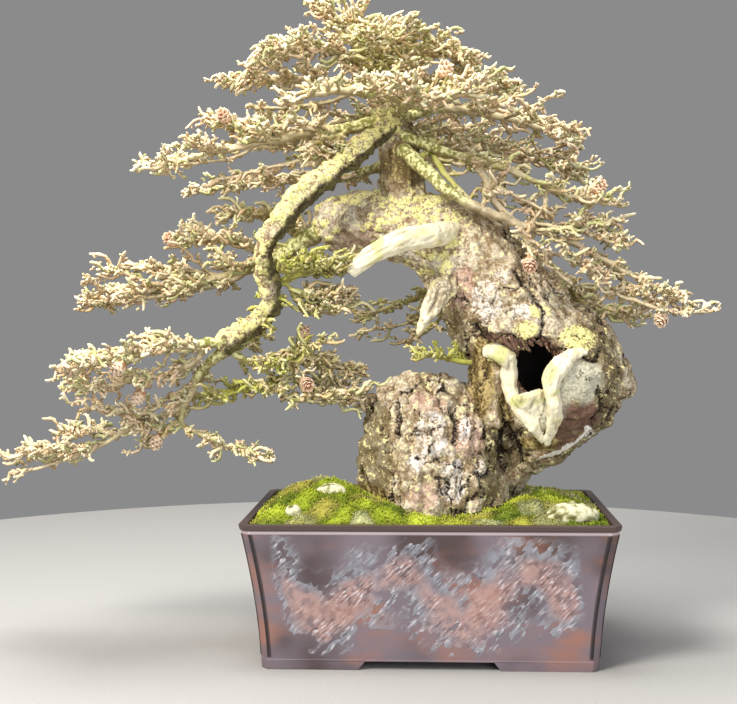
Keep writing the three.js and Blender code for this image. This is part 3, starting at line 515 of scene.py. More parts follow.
class Palette:
    """One material in the making: object coordinates, and blends of colours by masks."""

    def __init__(self, name: str, roughness: float, specular: float = 0.5) -> None:
        """Starts a material whose shader has the given roughness and specular level."""
        self.material = bpy.data.materials.new(name)
        self.material.use_nodes = True
        self.tree = self.material.node_tree
        self.shader = self.tree.nodes["Principled BSDF"]
        self.shader.inputs["Roughness"].default_value = roughness
        self.shader.inputs["Specular IOR Level"].default_value = specular
        self.place = add_node(self.tree, "ShaderNodeTexCoord").outputs["Object"]
        self.colour: Socket | None = None

    def noise(
        self, size: float, detail: float = 3.0, stretch: tuple = (1, 1, 1), place: object = None
    ) -> Socket:
        """Noise whose blotches are about size millimetres wide, divided by stretch along each axis.

        Args:
            size: Width of a blotch.
            detail: How many finer layers it has.
            stretch: What the coordinates are multiplied by.
            place: Coordinates in metres other than the object's own.

        Returns:
            The noise.
        """
        spread = add_node(self.tree, "ShaderNodeMapping", {"Vector": place or self.place, "Scale": stretch})
        links = {"Vector": spread.outputs[0], "Scale": 1 / (size * MM), "Detail": detail}
        return add_node(self.tree, "ShaderNodeTexNoise", links).outputs["Fac"]

    def level(self, low: float, high: float) -> Socket:
        """A smooth mask by height: 0 at low millimetres and 1 at high millimetres."""
        parts = add_node(self.tree, "ShaderNodeSeparateXYZ", {0: self.place})
        return self.between(parts.outputs[2], low * MM, high * MM)

    def mark(self, name: str) -> Socket:
        """An attribute of the piece."""
        return add_node(self.tree, "ShaderNodeAttribute", attribute_name=name).outputs["Fac"]

    def marked_place(self, *names: str) -> Socket:
        """Coordinates that are made of up to three attributes."""
        parts = {k: self.mark(name) for k, name in enumerate(names)}
        return add_node(self.tree, "ShaderNodeCombineXYZ", parts).outputs[0]

    def sums(self, a: object, b: object) -> Socket:
        """The sum of two values, each a socket or a number."""
        return add_node(self.tree, "ShaderNodeMath", {0: a, 1: b}, operation="ADD").outputs[0]

    def times(self, a: object, b: object) -> Socket:
        """The product of two values, each a socket or a number."""
        return add_node(self.tree, "ShaderNodeMath", {0: a, 1: b}, operation="MULTIPLY").outputs[0]

    def between(self, value: Socket, low: float, high: float) -> Socket:
        """A smooth mask: 0 where the value is below low, and 1 where it is above high."""
        ends = {"Value": value, "From Min": low, "From Max": high}
        return add_node(self.tree, "ShaderNodeMapRange", ends, interpolation_type="SMOOTHSTEP").outputs[0]

    def blend(self, mask: object, under: object, over: object) -> Socket:
        """The under colour, with the over colour where the mask is 1. Colours are hex or sockets."""
        ends = [linear(c) if isinstance(c, str) else c for c in (under, over)]
        return add_node(
            self.tree, "ShaderNodeMix", {0: mask, 6: ends[0], 7: ends[1]}, data_type="RGBA"
        ).outputs[2]

    def ramp(self, value: Socket, tones: dict[float, str]) -> Socket:
        """A run of colours: each tone stands at its place along the value."""
        made = add_node(self.tree, "ShaderNodeValToRGB", {"Fac": value})
        stops = made.color_ramp.elements
        for place, colour in tones.items():
            stops.new(place).color = linear(colour)
        stops.remove(stops[-1])
        stops.remove(stops[0])
        return made.outputs["Color"]

    def lay(self, mask: Socket, tone: object) -> None:
        """Lays a colour over the one so far, where the mask is 1."""
        self.colour = self.blend(mask, self.colour, tone)

    def finish(self, height: Socket, relief: float) -> Finish:
        """Joins the colour and a relief of so many millimetres to the shader."""
        self.tree.links.new(self.colour, self.shader.inputs["Base Color"])
        bump = add_node(self.tree, "ShaderNodeBump", {"Height": height, "Distance": relief * MM})
        self.tree.links.new(bump.outputs[0], self.shader.inputs["Normal"])
        return self.material


@dataclass(frozen=True)
class LarchBark:
    """Thick scaly bark of an old larch: dry and matt, so it gives no gloss, only grain and shade."""

    # the near black of the fissures: partly the inner bark's own dark, partly painted shade
    crack: str = "#2c2118"
    brown: str = "#786145"
    tan: str = "#a69170"
    grey: str = "#c3b59d"
    pale: str = "#ebe2cc"
    pink: str = "#cfa89c"
    red: str = "#72564a"
    ochre: str = "#b9a672"
    umber: str = "#6a5832"
    yellow_lichen: str = "#f6eea6"
    olive: str = "#b3b06a"
    # dark olive-brown of weathered bark, also laid as painted shade on the trunk's right mass
    weathered: str = "#6c6040"
    white_lichen: str = "#f6efe6"
    bare: str = "#b2ae95"
    chalk: str = "#d6d3be"
    shadow: str = "#3d3519"
    torn: str = "#94705a"
    # near black deep in the hollow: painted shadow
    deep: str = "#0b0805"
    clump: float = 8.0  # millimetres between clumps of scales
    scale: float = 3.0  # millimetres between scales

    def make(self) -> Finish:
        """The material. It reads the trunk's attributes for cracks, blotches, fibres and bare wood, and
        for the shade that it paints in the cracks, in the hollow and under the limb.

        Returns:
            The material.
        """
        p = Palette("larch_bark", roughness=0.9, specular=0.2)
        clump = p.between(p.noise(self.clump, 5), 0.34, 0.66)
        fine = p.noise(self.scale, 4)
        speck = p.between(fine, 0.36, 0.64)
        hue = p.sums(p.times(p.mark("hue"), 0.4), p.sums(p.times(clump, 0.3), p.times(speck, 0.3)))
        p.colour = p.ramp(hue, {0.15: self.brown, 0.4: self.tan, 0.6: self.grey, 0.82: self.pale})
        broad = p.noise(34, 4)
        # These patches are weathered olive-brown bark, and painted shade on the trunk's right mass.
        aged = p.sums(p.mark("aged"), p.sums(p.times(broad, 1.2), p.times(fine, 0.4)))
        p.lay(p.times(p.between(aged, 0.8, 1.35), 0.72), self.weathered)
        p.lay(p.times(p.mark("pink"), p.sums(p.times(speck, 0.6), 0.15)), self.pink)
        mixed = p.sums(p.times(clump, 0.5), p.times(speck, 0.5))
        p.lay(p.between(p.sums(p.mark("red"), mixed), 0.8, 1.5), self.red)
        strand = p.between(p.sums(p.mark("strand"), p.times(fine, 2.2)), 0.8, 1.5)
        fibre = p.blend(strand, self.umber, self.ochre)
        p.lay(p.between(p.sums(p.mark("ochre"), mixed), 0.7, 1.2), fibre)
        lichen = p.blend(p.between(fine, 0.3, 0.56), self.olive, self.yellow_lichen)
        p.lay(p.between(p.sums(p.mark("yellow"), mixed), 0.82, 1.14), lichen)
        streak = p.noise(5.0, 4, (1, 1, 0.4))
        white = p.sums(p.mark("white"), p.sums(p.times(streak, 0.8), p.times(speck, 0.3)))
        p.lay(p.between(white, 0.95, 1.5), self.white_lichen)
        # Painted shade on the limb and the apex where they face down, and on the limb also where it faces
        # right.
        p.lay(p.times(p.mark("under"), p.times(p.mark("slim"), 0.88)), self.shadow)
        p.lay(p.mark("bare"), p.blend(p.between(fine, 0.35, 0.7), self.bare, self.chalk))
        # Near black in the fissures, crumb valleys and seams: partly the inner bark's own dark, partly
        # painted shade.
        crack = p.sums(p.mark("crack"), p.times(speck, 0.35))
        p.lay(p.between(crack, 0.75, 0.15), self.crack)
        # The hollow's inside: torn brown wood near its mouth and top, and near black further in as painted
        # shadow.
        torn = p.blend(p.between(p.noise(2.6, 3, (1, 1, 0.25)), 0.4, 0.6), self.crack, self.torn)
        depth = p.sums(p.mark("depth"), p.times(fine, 0.3))
        p.lay(p.mark("hollow"), p.blend(p.between(depth, 0.5, 0.75), torn, self.deep))
        return p.finish(p.sums(fine, p.times(clump, 1.4)), 1.0)


@dataclass(frozen=True)
class BleachedWood:
    """Bare larch wood bleached by sun and lime sulphur: cream, with fine grain and a dull sheen."""

    pale: str = "#f4edd0"
    cream: str = "#dfd3a4"
    lichen: str = "#d8d894"
    # the grain's low lines and pits: partly open checks, partly painted shade
    check_and_shade: str = "#84775a"
    weathered: str = "#9d8e74"
    grain: float = 1.6  # millimetres between grain lines

    def make(self) -> Finish:
        """The material. The shade attribute darkens the grain's low lines and pits, partly as open
        checks and partly as painted shade, and worn greys the wood.
        """
        p = Palette("bleached_wood", roughness=0.6, specular=0.35)
        fine = p.noise(self.grain, 4, (0.35, 1, 0.35))
        broad = p.noise(18, 2)
        p.colour = p.blend(p.between(broad, 0.42, 0.7), self.pale, self.cream)
        p.lay(p.times(p.mark("lichen"), p.between(broad, 0.35, 0.6)), self.lichen)
        p.lay(p.between(fine, 0.62, 0.8), self.cream)
        p.lay(p.times(p.mark("worn"), p.between(fine, 0.3, 0.6)), self.weathered)
        p.lay(p.mark("shade"), self.check_and_shade)
        return p.finish(fine, 0.3)


@dataclass(frozen=True)
class Twigs:
    """Winter twigs of larch: matt bark from olive to straw and pink-tan, cream at the blunt ends
    (partly a painted highlight), with painted shade on the sides that face down.
    """

    inner: str = "#b6a27e"
    olive: str = "#c6c88c"
    straw: str = "#f8edc4"
    pinkish: str = "#efd3b3"
    tan: str = "#e2c89a"
    # the blunt ends: partly their pale new bark, partly a painted highlight
    end: str = "#fffae0"
    green: str = "#c2c45e"
    lichen: str = "#e6dab6"
    speck: str = "#5e4c34"
    # painted shade on the sides of twigs and stems that face down
    under: str = "#7f6b48"
    crust: str = "#eeedb0"
    crust_low: str = "#8e8c4c"
    grit: float = 1.6  # millimetres between specks of bark

    def make(self) -> Finish:
        """The material. It reads how near a tip is, the twig's own tint, the moss on it, and the under
        mark, by which it paints shade on the sides that face down.
        """
        p = Palette("larch_twigs", roughness=0.82, specular=0.25)
        fine = p.noise(self.grit, 3)
        blot = p.noise(7, 2)
        own = p.sums(p.mark("tint"), p.sums(blot, -0.5))
        p.colour = p.ramp(own, {0.05: self.olive, 0.35: self.straw, 0.65: self.pinkish, 0.95: self.tan})
        old = p.sums(p.mark("tip"), p.times(fine, 0.4))
        rind = p.blend(p.between(blot, 0.42, 0.6), self.inner, self.lichen)
        p.lay(p.between(old, 0.5, 0.2), rind)
        p.lay(p.between(p.sums(p.mark("moss"), p.times(blot, 0.8)), 0.6, 1.1), self.green)
        scab = p.noise(4.5, 4)
        crust = p.between(p.sums(p.mark("crust"), p.times(scab, 1.2)), 0.75, 1.25)
        p.lay(crust, p.blend(p.between(scab, 0.42, 0.6), self.crust_low, self.crust))
        p.lay(p.times(p.between(fine, 0.54, 0.7), 0.5), self.speck)
        # Painted shade: darker on the sides that face down, by the under mark.
        shade = p.between(p.sums(p.mark("under"), p.times(fine, 0.6)), 0.45, 1.1)
        p.lay(p.times(shade, 0.6), self.under)
        # Near white at the very ends: partly the pale new bark, partly a painted highlight.
        end = p.between(p.sums(p.mark("tip"), p.times(fine, 0.6)), 1.05, 1.45)
        p.lay(p.times(end, p.sums(p.times(p.mark("moss"), -0.7), 1.0)), self.end)
        return p.finish(p.sums(fine, blot), 0.7)


@dataclass(frozen=True)
class Cones:
    """Ripe larch cones: pinkish-buff scales, dry and matt, with painted shade in the gaps between
    them and pale rims that are partly a painted highlight.
    """

    # painted shade where each scale tucks under the next
    gap: str = "#b98e68"
    scale: str = "#f5d9b6"
    # the rims: partly their own paler colour, partly a painted highlight
    edge: str = "#fff6e4"
    dried: str = "#dba585"

    def make(self) -> Finish:
        """The material. The edge attribute is 1 at a scale's rim, and tint is each cone's own."""
        p = Palette("cone_scales", roughness=0.75, specular=0.3)
        fine = p.noise(1.5, 2)
        # Dark at each scale's seat as painted shade, and pale at its rim, partly as painted highlight.
        p.colour = p.blend(p.between(p.mark("edge"), 0.0, 0.5), self.gap, self.scale)
        p.lay(p.between(p.mark("edge"), 0.5, 1.0), self.edge)
        p.lay(p.times(p.mark("tint"), 0.45), self.dried)
        return p.finish(fine, 0.2)


@dataclass(frozen=True)
class Moss:
    """Cushion moss: soft points, each cushion of its own green, and painted shade, nearly black,
    in the gaps between cushions and at the points' feet.
    """

    # painted shade in the gaps between cushions and at the points' feet
    gap: str = "#2e3610"
    deep: str = "#6f8426"
    green: str = "#a0b02c"
    bright: str = "#c8d444"
    olive: str = "#b0a64c"
    silver: str = "#bcc08a"
    dry: str = "#efe98c"

    def make(self) -> Finish:
        """The material. Tip runs from a point's foot to its end, and hue is the cushion's own."""
        p = Palette("cushion_moss", roughness=0.9, specular=0.2)
        fine = p.noise(2.4, 3)
        broad = p.noise(15, 3)
        hue = p.sums(p.mark("hue"), p.times(p.sums(broad, -0.5), 0.5))
        tones = {0.05: self.deep, 0.3: self.green, 0.5: self.bright, 0.72: self.olive, 0.95: self.silver}
        p.colour = p.ramp(hue, tones)
        dry = p.between(p.sums(p.sums(fine, broad), p.mark("tip")), 1.5, 1.9)
        p.lay(p.times(dry, 0.7), self.dry)
        # Painted shade: nearly black where tip is low, at the points' feet and in the gaps between
        # cushions.
        p.lay(p.between(p.sums(p.mark("tip"), p.times(fine, 0.3)), 0.62, 0.12), self.gap)
        return p.finish(fine, 0.8)


@dataclass(frozen=True)
class LichenStone:
    """Rough stone under a crust of pale lichen: chalky yellow-green with a few bare dark pits."""

    pit: str = "#625f3b"
    crust: str = "#a7a578"
    white: str = "#d8d6b6"

    def make(self) -> Finish:
        """The material. The lump attribute is 1 on top of a crust's grain."""
        p = Palette("crusted_stone", roughness=0.9, specular=0.2)
        fine = p.noise(2.4, 4)
        p.colour = p.blend(p.between(p.mark("lump"), 0.1, 0.55), self.pit, self.crust)
        p.lay(p.between(p.sums(fine, p.mark("lump")), 0.9, 1.3), self.white)
        return p.finish(fine, 0.5)


@dataclass(frozen=True)
class BakedSoil:
    """Baked clay granules, damp and dark between and brown on top."""

    damp: str = "#2a2015"
    brown: str = "#6a5038"
    pale: str = "#9a8260"

    def make(self) -> Finish:
        """The material. The tint attribute is each granule's own."""
        p = Palette("baked_clay_soil", roughness=0.95, specular=0.2)
        fine = p.noise(2.0, 3)
        p.colour = p.blend(p.between(fine, 0.35, 0.65), self.damp, self.brown)
        p.lay(p.between(p.mark("tint"), 0.6, 1.0), self.pale)
        return p.finish(fine, 0.5)


@dataclass(frozen=True)
class ScreenMesh:
    """Moulded polypropylene mesh: dark green-black with a dull moulded face."""

    dark: str = "#22261f"
    worn: str = "#3c4136"

    def make(self) -> Finish:
        """The material, with soil dust in its fine grain."""
        p = Palette("moulded_mesh", roughness=0.6)
        fine = p.noise(1.2, 3)
        p.colour = p.blend(p.between(fine, 0.5, 0.8), self.dark, self.worn)
        return p.finish(fine, 0.1)


@dataclass(frozen=True)
class Stoneware:
    """Smooth stoneware under a thin satin slip: violet and brown clouds, rusty where it is thin."""

    clay: str = "#483a3b"
    violet: str = "#746a73"
    slate: str = "#9096a0"
    rust: str = "#9c6850"
    rose: str = "#b1918a"
    ridge: str = "#dad5da"
    gouge: str = "#43373a"
    # a dark line at the panels' side borders: painted shadow of the corner notches
    groove: str = "#1f181a"
    rim: str = "#4c3c38"
    # a pale band just under the dark rim: painted highlight
    lip: str = "#d2c3c9"
    grit: float = 1.6  # millimetres between grains of sand in the clay
    foot_shade: Span = (150, 40)  # heights between which violet grows towards the foot
    # heights where the painted highlight under the rim begins
    rim_highlight_band: Span = (153.5, 155.5)
    rim_foot: Span = (157.0, 158.5)

    def make(self) -> Finish:
        """The material. Raised marks the rosy band, halo its surroundings, rough the strokes' patches
        and groove the borders, where a dark line is painted as the shadow of the corner notches.

        The strokes run along the attribute slant and across the attribute cross.

        Returns:
            The material.
        """
        p = Palette("satin_stoneware", roughness=0.42)
        fine = p.noise(self.grit, 3)
        cloud = p.noise(95, 2)
        patch = p.noise(70, 3, (0.8, 0.8, 1.6))
        stroke = p.noise(2.6, 2, (0.24, 1, 1), p.marked_place("slant", "cross"))
        dabs = p.noise(9, 4)
        lower = p.times(p.level(*self.foot_shade), 0.16)
        p.colour = p.blend(p.between(p.sums(cloud, lower), 0.42, 0.72), self.clay, self.violet)
        p.lay(p.times(p.between(patch, 0.47, 0.74), 0.8), self.rust)
        broken = p.sums(p.times(p.between(dabs, 0.3, 0.6), 0.6), 0.2)
        p.lay(p.times(p.mark("halo"), broken), self.slate)
        p.lay(p.times(p.mark("raised"), broken), self.rose)
        rough = p.mark("rough")
        low = p.times(p.between(stroke, 0.46, 0.34), rough)
        high = p.times(p.between(stroke, 0.56, 0.68), rough)
        p.lay(p.times(low, 0.7), self.gouge)
        p.lay(p.times(high, 0.75), self.ridge)
        # Painted shadow: a dark line along the panels' side borders, next to the notches.
        p.lay(p.mark("groove"), self.groove)
        # Painted highlight: a pale band just under the dark rim.
        p.lay(p.times(p.level(*self.rim_highlight_band), 0.6), self.lip)
        p.lay(p.level(*self.rim_foot), self.rim)
        p.lay(p.times(p.between(fine, 0.6, 0.8), 0.35), self.clay)
        return p.finish(p.sums(p.times(fine, 0.1), p.times(stroke, rough)), 1.2)


# The tree's branches

@dataclass(frozen=True)
class Arm:
    """One stem of a spray: its route in millimetres, its radius at both ends, and its side branches.

    The last six tune the growth: moss at the root, the share of the full reach, how much twigs lean up,
    how far side branches scatter up and down, the share of twigs that grow, and the share of the stem
    that carries none.
    """

    route: list[tuple[float, float, float]]
    thick: Span
    spread: float
    rise: float
    moss: float = 0.0
    reach: float = 1.0
    lean: float = 0.0
    scatter: float = 0.0
    full: float = 1.0
    bare: float = 0.0

    def length(self) -> float:
        """The length of the line through the stations."""
        return float(np.linalg.norm(np.diff(self.route, axis=0), axis=1).sum())


@dataclass(frozen=True)
class Spray:
    """A branch: its arms, and its cones (share along the first arm, then x, y and z)."""

    name: str
    arms: list[Arm]
    cones: list[tuple[float, float, float, float]] = field(default_factory=list)


SPRAY_LIST = [
    Spray("left_low_upper", [
        Arm([(-229, -66, 365), (-254, -71, 363), (-287, -82, 359), (-323, -94, 353), (-365, -100, 344),
            (-396, -105, 336)], (7, 1.8), 62, 0.19, moss=0.25, reach=0.85, lean=-0.25),
        Arm([(-254, -71, 362), (-270, -64, 344), (-300, -62, 328), (-336, -68, 320), (-372, -75, 314),
            (-404, -76, 315)], (4.5, 1.4), 34, 0.14, moss=0.2, reach=0.85, lean=-0.2, full=0.5),
    ], [(0.98, -403, -112, 336), (0.55, -348, -106, 336), (0.42, -332, -78, 303)]),
    Spray("left_low_lower", [
        Arm([(-235, -58, 354), (-255, -52, 340), (-273, -45, 318), (-291, -38, 287), (-331, -30, 271),
            (-375, -20, 250), (-431, -12, 224), (-499, -5, 204)], (7.5, 1.5), 56, 0.15, moss=0.3, reach=0.7,
            lean=-0.3, scatter=0.2, full=0.45),
        Arm([(-291, -38, 287), (-288, -46, 268), (-268, -54, 256), (-240, -58, 244), (-208, -60, 237)],
            (4, 1.3), 20, 0.1, moss=0.4, reach=0.7, lean=-0.35, full=0.4),
        Arm([(-331, -30, 271), (-346, -50, 279), (-372, -66, 287), (-396, -74, 288)], (3.6, 1.3), 20, 0.1,
            moss=0.2, reach=0.8, lean=-0.2, full=0.25),
        Arm([(-439, -11, 222), (-440, -15, 224), (-442, -16, 229), (-463, -18, 232), (-487, -20, 230),
            (-506, -22, 223)], (2.6, 1.8), 12, 0.05, lean=-0.1, full=0.9),
        Arm([(-374, -20, 251), (-403, -22, 256), (-434, -24, 256)], (2.6, 1.8), 10, 0.05, full=0.7),
        Arm([(-335, -36, 273), (-332, -38, 276), (-329, -38, 280), (-331, -42, 259), (-340, -44, 240)],
            (3.2, 1.8), 18, -0.1, full=0.5),
        Arm([(-395, -17, 241), (-411, -30, 238), (-434, -34, 239)], (2.6, 1.7), 14, -0.1, lean=-0.2,
            full=0.7),
        Arm([(-229, -59, 242), (-212, -58, 234), (-198, -58, 227), (-182, -58, 227)], (2.4, 1.8), 6, 0.05,
            full=0.3),
    ], [(0.88, -479, -16, 236), (0.5, -320, -44, 248)]),
    Spray("left_inner", [
        Arm([(-228, -58, 352), (-209, -46, 341), (-185, -32, 338), (-163, -20, 341), (-130, -8, 336),
            (-95, 0, 327)], (5, 1.4), 44, 0.2, moss=0.55, reach=0.75, lean=-0.35),
        Arm([(-163, -20, 341), (-156, -32, 318), (-134, -40, 302), (-104, -44, 303), (-78, -48, 306)],
            (3.6, 1.3), 26, 0.1, moss=0.5, lean=-0.2, full=0.4),
        Arm([(-163, -20, 341), (-178, -30, 318), (-206, -36, 308), (-236, -38, 302), (-256, -38, 298)],
            (3.4, 1.3), 18, 0.1, moss=1, lean=-0.1, full=0.5),
        Arm([(-179, -29, 339), (-171, -43, 336), (-166, -52, 340), (-147, -52, 354), (-124, -50, 361)],
            (2.6, 1.7), 12, 0.05, moss=0.8, full=0.6),
        Arm([(-188, -32, 315), (-185, -37, 311), (-184, -40, 309), (-156, -40, 297), (-128, -38, 292),
            (-97, -34, 293)], (2.6, 1.7), 14, -0.05, moss=0.5, full=0.6),
        Arm([(-114, -4, 332), (-115, -8, 321), (-118, -8, 314), (-92, -2, 300), (-69, 2, 287)], (2.4, 1.7),
            16, -0.1, full=0.8),
    ], [(0.6, -149, -24, 372), (0.6, -142, -56, 316)]),
    Spray("left_inner_high", [
        Arm([(-184, -65, 424), (-158, -60, 439), (-133, -54, 444), (-112, -50, 446)], (5, 1.4), 42, 0.16,
            moss=0.8),
        Arm([(-168, -62, 434), (-150, -57, 420), (-124, -52, 416), (-106, -50, 416)], (3, 1.3), 22, 0.08,
            moss=0.45, full=0.5),
        Arm([(-184, -65, 424), (-184, -63, 416), (-186, -58, 412), (-184, -54, 391), (-194, -52, 375),
            (-208, -52, 363)], (2.6, 1.7), 12, 0, moss=0.8, full=0.7),
        Arm([(-160, -60, 428), (-150, -48, 407), (-125, -42, 403), (-95, -38, 407)], (2.8, 1.7), 18, -0.05,
            moss=0.5, full=0.7),
    ]),
    Spray("left_mid", [
        Arm([(-132, 12, 495), (-167, 18, 476), (-203, 12, 457), (-246, 8, 443), (-292, 8, 433),
            (-341, 15, 426), (-388, 22, 419)], (12, 1.8), 84, 0.19, moss=0.4, reach=0.8, lean=-0.1,
            scatter=0.55),
        Arm([(-190, 14, 464), (-222, -2, 478), (-254, -12, 485), (-284, -16, 484)], (5, 1.4), 40, 0.16,
            moss=0.2, reach=0.85, lean=0, scatter=0.4, full=0.8),
        Arm([(-250, 8, 442), (-293, 0, 450), (-339, -4, 454), (-382, -6, 449)], (3.6, 1.8), 14, 0, moss=0.1,
            reach=0.9, lean=-0.2, full=0.6),
        Arm([(-146, 14, 487), (-151, 8, 494), (-158, 6, 506), (-192, 4, 516), (-220, 2, 517),
            (-244, 0, 514)], (3.6, 1.8), 18, -0.05, moss=0.5, lean=-0.15, full=0.9),
        Arm([(-204, 12, 457), (-247, 4, 433), (-302, 8, 422), (-365, 12, 414), (-414, 20, 409)], (3.4, 1.8),
            18, -0.05, moss=0.1, reach=0.8, full=0.8),
    ], [(0.55, -303, -30, 484)]),
    Spray("left_back", [
        Arm([(-43, 14, 579), (-105, 58, 565), (-164, 85, 565), (-230, 100, 562), (-300, 105, 555)],
            (7, 1.6), 62, 0.07, reach=0.7, lean=-0.2, full=0.7),
    ]),
    Spray("left_upper", [
        Arm([(-45, -4, 626), (-96, -18, 615), (-142, -28, 607), (-196, -36, 597), (-249, -42, 585),
            (-301, -45, 573)], (9, 1.8), 84, 0.19, moss=0.35, reach=0.75, lean=-0.15),
        Arm([(-187, -35, 599), (-187, -36, 603), (-189, -36, 609), (-224, -34, 618), (-251, -30, 623)],
            (3.2, 1.7), 15, -0.05, lean=-0.2, full=0.8),
        Arm([(-109, -21, 613), (-106, -23, 601), (-105, -22, 594), (-152, -30, 576), (-201, -36, 563),
            (-249, -40, 554)], (3.2, 1.7), 12, -0.1, moss=0.2, lean=-0.4, full=0.5),
        Arm([(-93, -17, 616), (-107, -34, 597), (-125, -40, 582)], (2.6, 1.7), 20, 0, moss=0.5, full=0.8),
        Arm([(-197, -36, 597), (-226, -38, 579), (-266, -40, 574), (-303, -42, 569), (-340, -44, 574)],
            (2.4, 1.7), 8, 0.05, lean=-0.2, full=0.2),
    ], [(0.62, -232, -70, 622)]),
    Spray("left_top", [
        Arm([(-52, 0, 660), (-100, 8, 669), (-149, 14, 678), (-195, 10, 680), (-228, 4, 674)], (8, 1.8), 78,
            0.21, moss=0.3, reach=0.6, lean=-0.25),
        Arm([(-80, 5, 665), (-116, -2, 650), (-164, -8, 642), (-204, -12, 640)], (2.8, 1.7), 10, -0.05,
            moss=0.3, lean=-0.4, full=0.4),
    ]),
    Spray("crown_left", [
        Arm([(-56, 0, 683), (-100, -14, 699), (-144, -22, 708), (-182, -26, 700)], (6, 1.6), 62, 0.26,
            reach=0.7, lean=-0.3),
    ]),
    Spray("crown_top", [
        Arm([(-59, 2, 699), (-74, 6, 717), (-86, 2, 732)], (7, 1.8), 46, 0.34),
        Arm([(-71, 5, 714), (-95, -4, 735), (-116, -6, 749), (-128, -8, 759)], (3, 1.7), 15, -0.05,
            lean=-0.15, full=0.8),
        Arm([(-68, 4, 710), (-52, 8, 731), (-44, 10, 743)], (3, 1.7), 10, -0.1, lean=-0.2, full=0.6),
    ]),
    Spray("crown_right", [
        Arm([(-57, 0, 691), (-21, -12, 702), (12, -16, 704), (42, -18, 692)], (6, 1.6), 62, 0.26, moss=0.4,
            reach=0.6, lean=-0.3),
    ]),
    Spray("crown_front", [
        Arm([(-58, -6, 678), (-58, -34, 696), (-52, -60, 711)], (6, 1.6), 54, 0.26, moss=0.55, reach=0.8,
            lean=-0.2),
    ]),
    Spray("crown_back", [
        Arm([(-55, 4, 680), (-52, 50, 696), (-46, 100, 690), (-40, 146, 672)], (7, 1.6), 72, 0.22,
            full=0.8),
    ]),
    Spray("right_top", [
        Arm([(-49, 0, 655), (0, 16, 672), (54, 26, 676), (98, 34, 662)], (8, 1.7), 76, 0.21, moss=0.4,
            reach=0.45, lean=-0.25),
    ]),
    Spray("right_upper", [
        Arm([(-45, -4, 626), (12, -22, 635), (66, -30, 628), (114, -32, 616), (158, -30, 597)], (8, 1.7),
            80, 0.19, moss=0.3, reach=0.85, lean=-0.3),
    ]),
    Spray("right_upper_low", [
        Arm([(-40, 6, 609), (22, 34, 600), (84, 52, 592), (141, 60, 581), (182, 64, 567)], (7, 1.6), 66,
            0.15, full=0.8),
    ]),
    Spray("right_mid", [
        Arm([(-37, -12, 609), (12, -38, 586), (58, -50, 570), (97, -56, 559), (135, -58, 537),
            (174, -60, 525), (207, -62, 519)], (7, 1.6), 52, 0.14, moss=0.45, reach=0.7, lean=0.05,
            full=0.55, bare=0.25),
        Arm([(135, -58, 537), (131, -60, 514), (122, -54, 501), (156, -54, 491), (191, -52, 485),
            (221, -50, 474)], (2.8, 1.7), 14, 0.05, moss=0.2, full=0.6),
        Arm([(33, -44, 579), (54, -52, 566), (68, -58, 543), (80, -56, 519), (97, -50, 503)], (4.6, 3.6), 9,
            0.1, moss=0.2, full=0.12),
    ], [(0.86, 192, -68, 537)]),
    Spray("right_low", [
        Arm([(-30, -18, 589), (1, -54, 557), (26, -68, 532), (56, -66, 516), (90, -54, 503),
            (127, -46, 490), (179, -40, 470), (237, -34, 439), (277, -28, 417), (313, -24, 403)], (9, 1.6),
            62, 0.1, moss=0.2, reach=0.8, lean=-0.3, full=0.4, bare=0.5),
        Arm([(150, -43, 482), (160, -50, 466), (178, -54, 450), (193, -56, 436)], (3, 1.3), 20, 0.04,
            moss=0.3, reach=0.85, full=0.35),
        Arm([(193, -38, 464), (214, -24, 446), (244, -18, 420), (268, -16, 406)], (3.4, 1.3), 30, 0.08,
            moss=0.3, reach=0.85, full=0.35),
        Arm([(139, -44, 486), (176, -40, 497), (205, -38, 492)], (3, 1.3), 26, 0.12, full=0.5),
        Arm([(60, -65, 515), (66, -64, 525), (68, -56, 544), (88, -60, 534), (110, -60, 525),
            (138, -56, 510)], (3, 1.8), 15, 0.1, moss=0.25, full=0.35),
        Arm([(-18, -32, 577), (-7, -30, 579), (1, -24, 586), (16, -42, 562), (31, -47, 542),
            (49, -47, 523)], (4, 3), 8, 0.05, moss=0.7, full=0.15),
        Arm([(103, -51, 498), (118, -52, 478), (136, -50, 455), (165, -44, 430)], (3.2, 1.8), 18, 0.05,
            moss=0.15, full=0.4),
        Arm([(228, -21, 434), (224, -36, 421), (217, -44, 416), (252, -42, 405), (289, -38, 396),
            (327, -34, 397)], (3, 1.8), 9, 0.05, full=0.4),
    ], [(0.9, 269, -40, 390), (0.5, 114, -78, 452)]),
    Spray("right_under", [
        Arm([(110, 32, 452), (144, 36, 432), (176, 38, 415), (208, 40, 396), (238, 42, 391)], (6, 1.5), 46,
            0.09, moss=0.5, full=0.8),
    ]),
    Spray("front_pad", [
        Arm([(-40, -10, 636), (-26, -62, 634), (-8, -108, 632), (8, -152, 626)], (8, 1.7), 84, 0.21,
            moss=0.4),
    ], [(0.7, 18, -128, 660)]),
    Spray("front_left_pad", [
        Arm([(-46, -6, 646), (-82, -60, 650), (-116, -102, 642), (-146, -132, 628)], (7, 1.6), 70, 0.2,
            moss=0.4, reach=0.4, lean=0.4, full=0.25),
    ]),
    Spray("back_upper", [
        Arm([(-38, 8, 618), (-20, 70, 622), (4, 130, 612), (20, 188, 592)], (9, 1.8), 88, 0.19, full=0.8),
    ], [(0.6, 30, 128, 640)]),
    Spray("back_left", [
        Arm([(-40, 8, 640), (-92, 66, 640), (-146, 112, 630), (-200, 148, 612)], (8, 1.7), 78, 0.17,
            full=0.8),
    ]),
    Spray("back_mid", [
        Arm([(10, 40, 500), (30, 96, 508), (52, 150, 500), (70, 204, 482)], (9, 1.8), 84, 0.15, moss=0.3,
            reach=0.6, full=0.8),
    ]),
    Spray("back_low", [
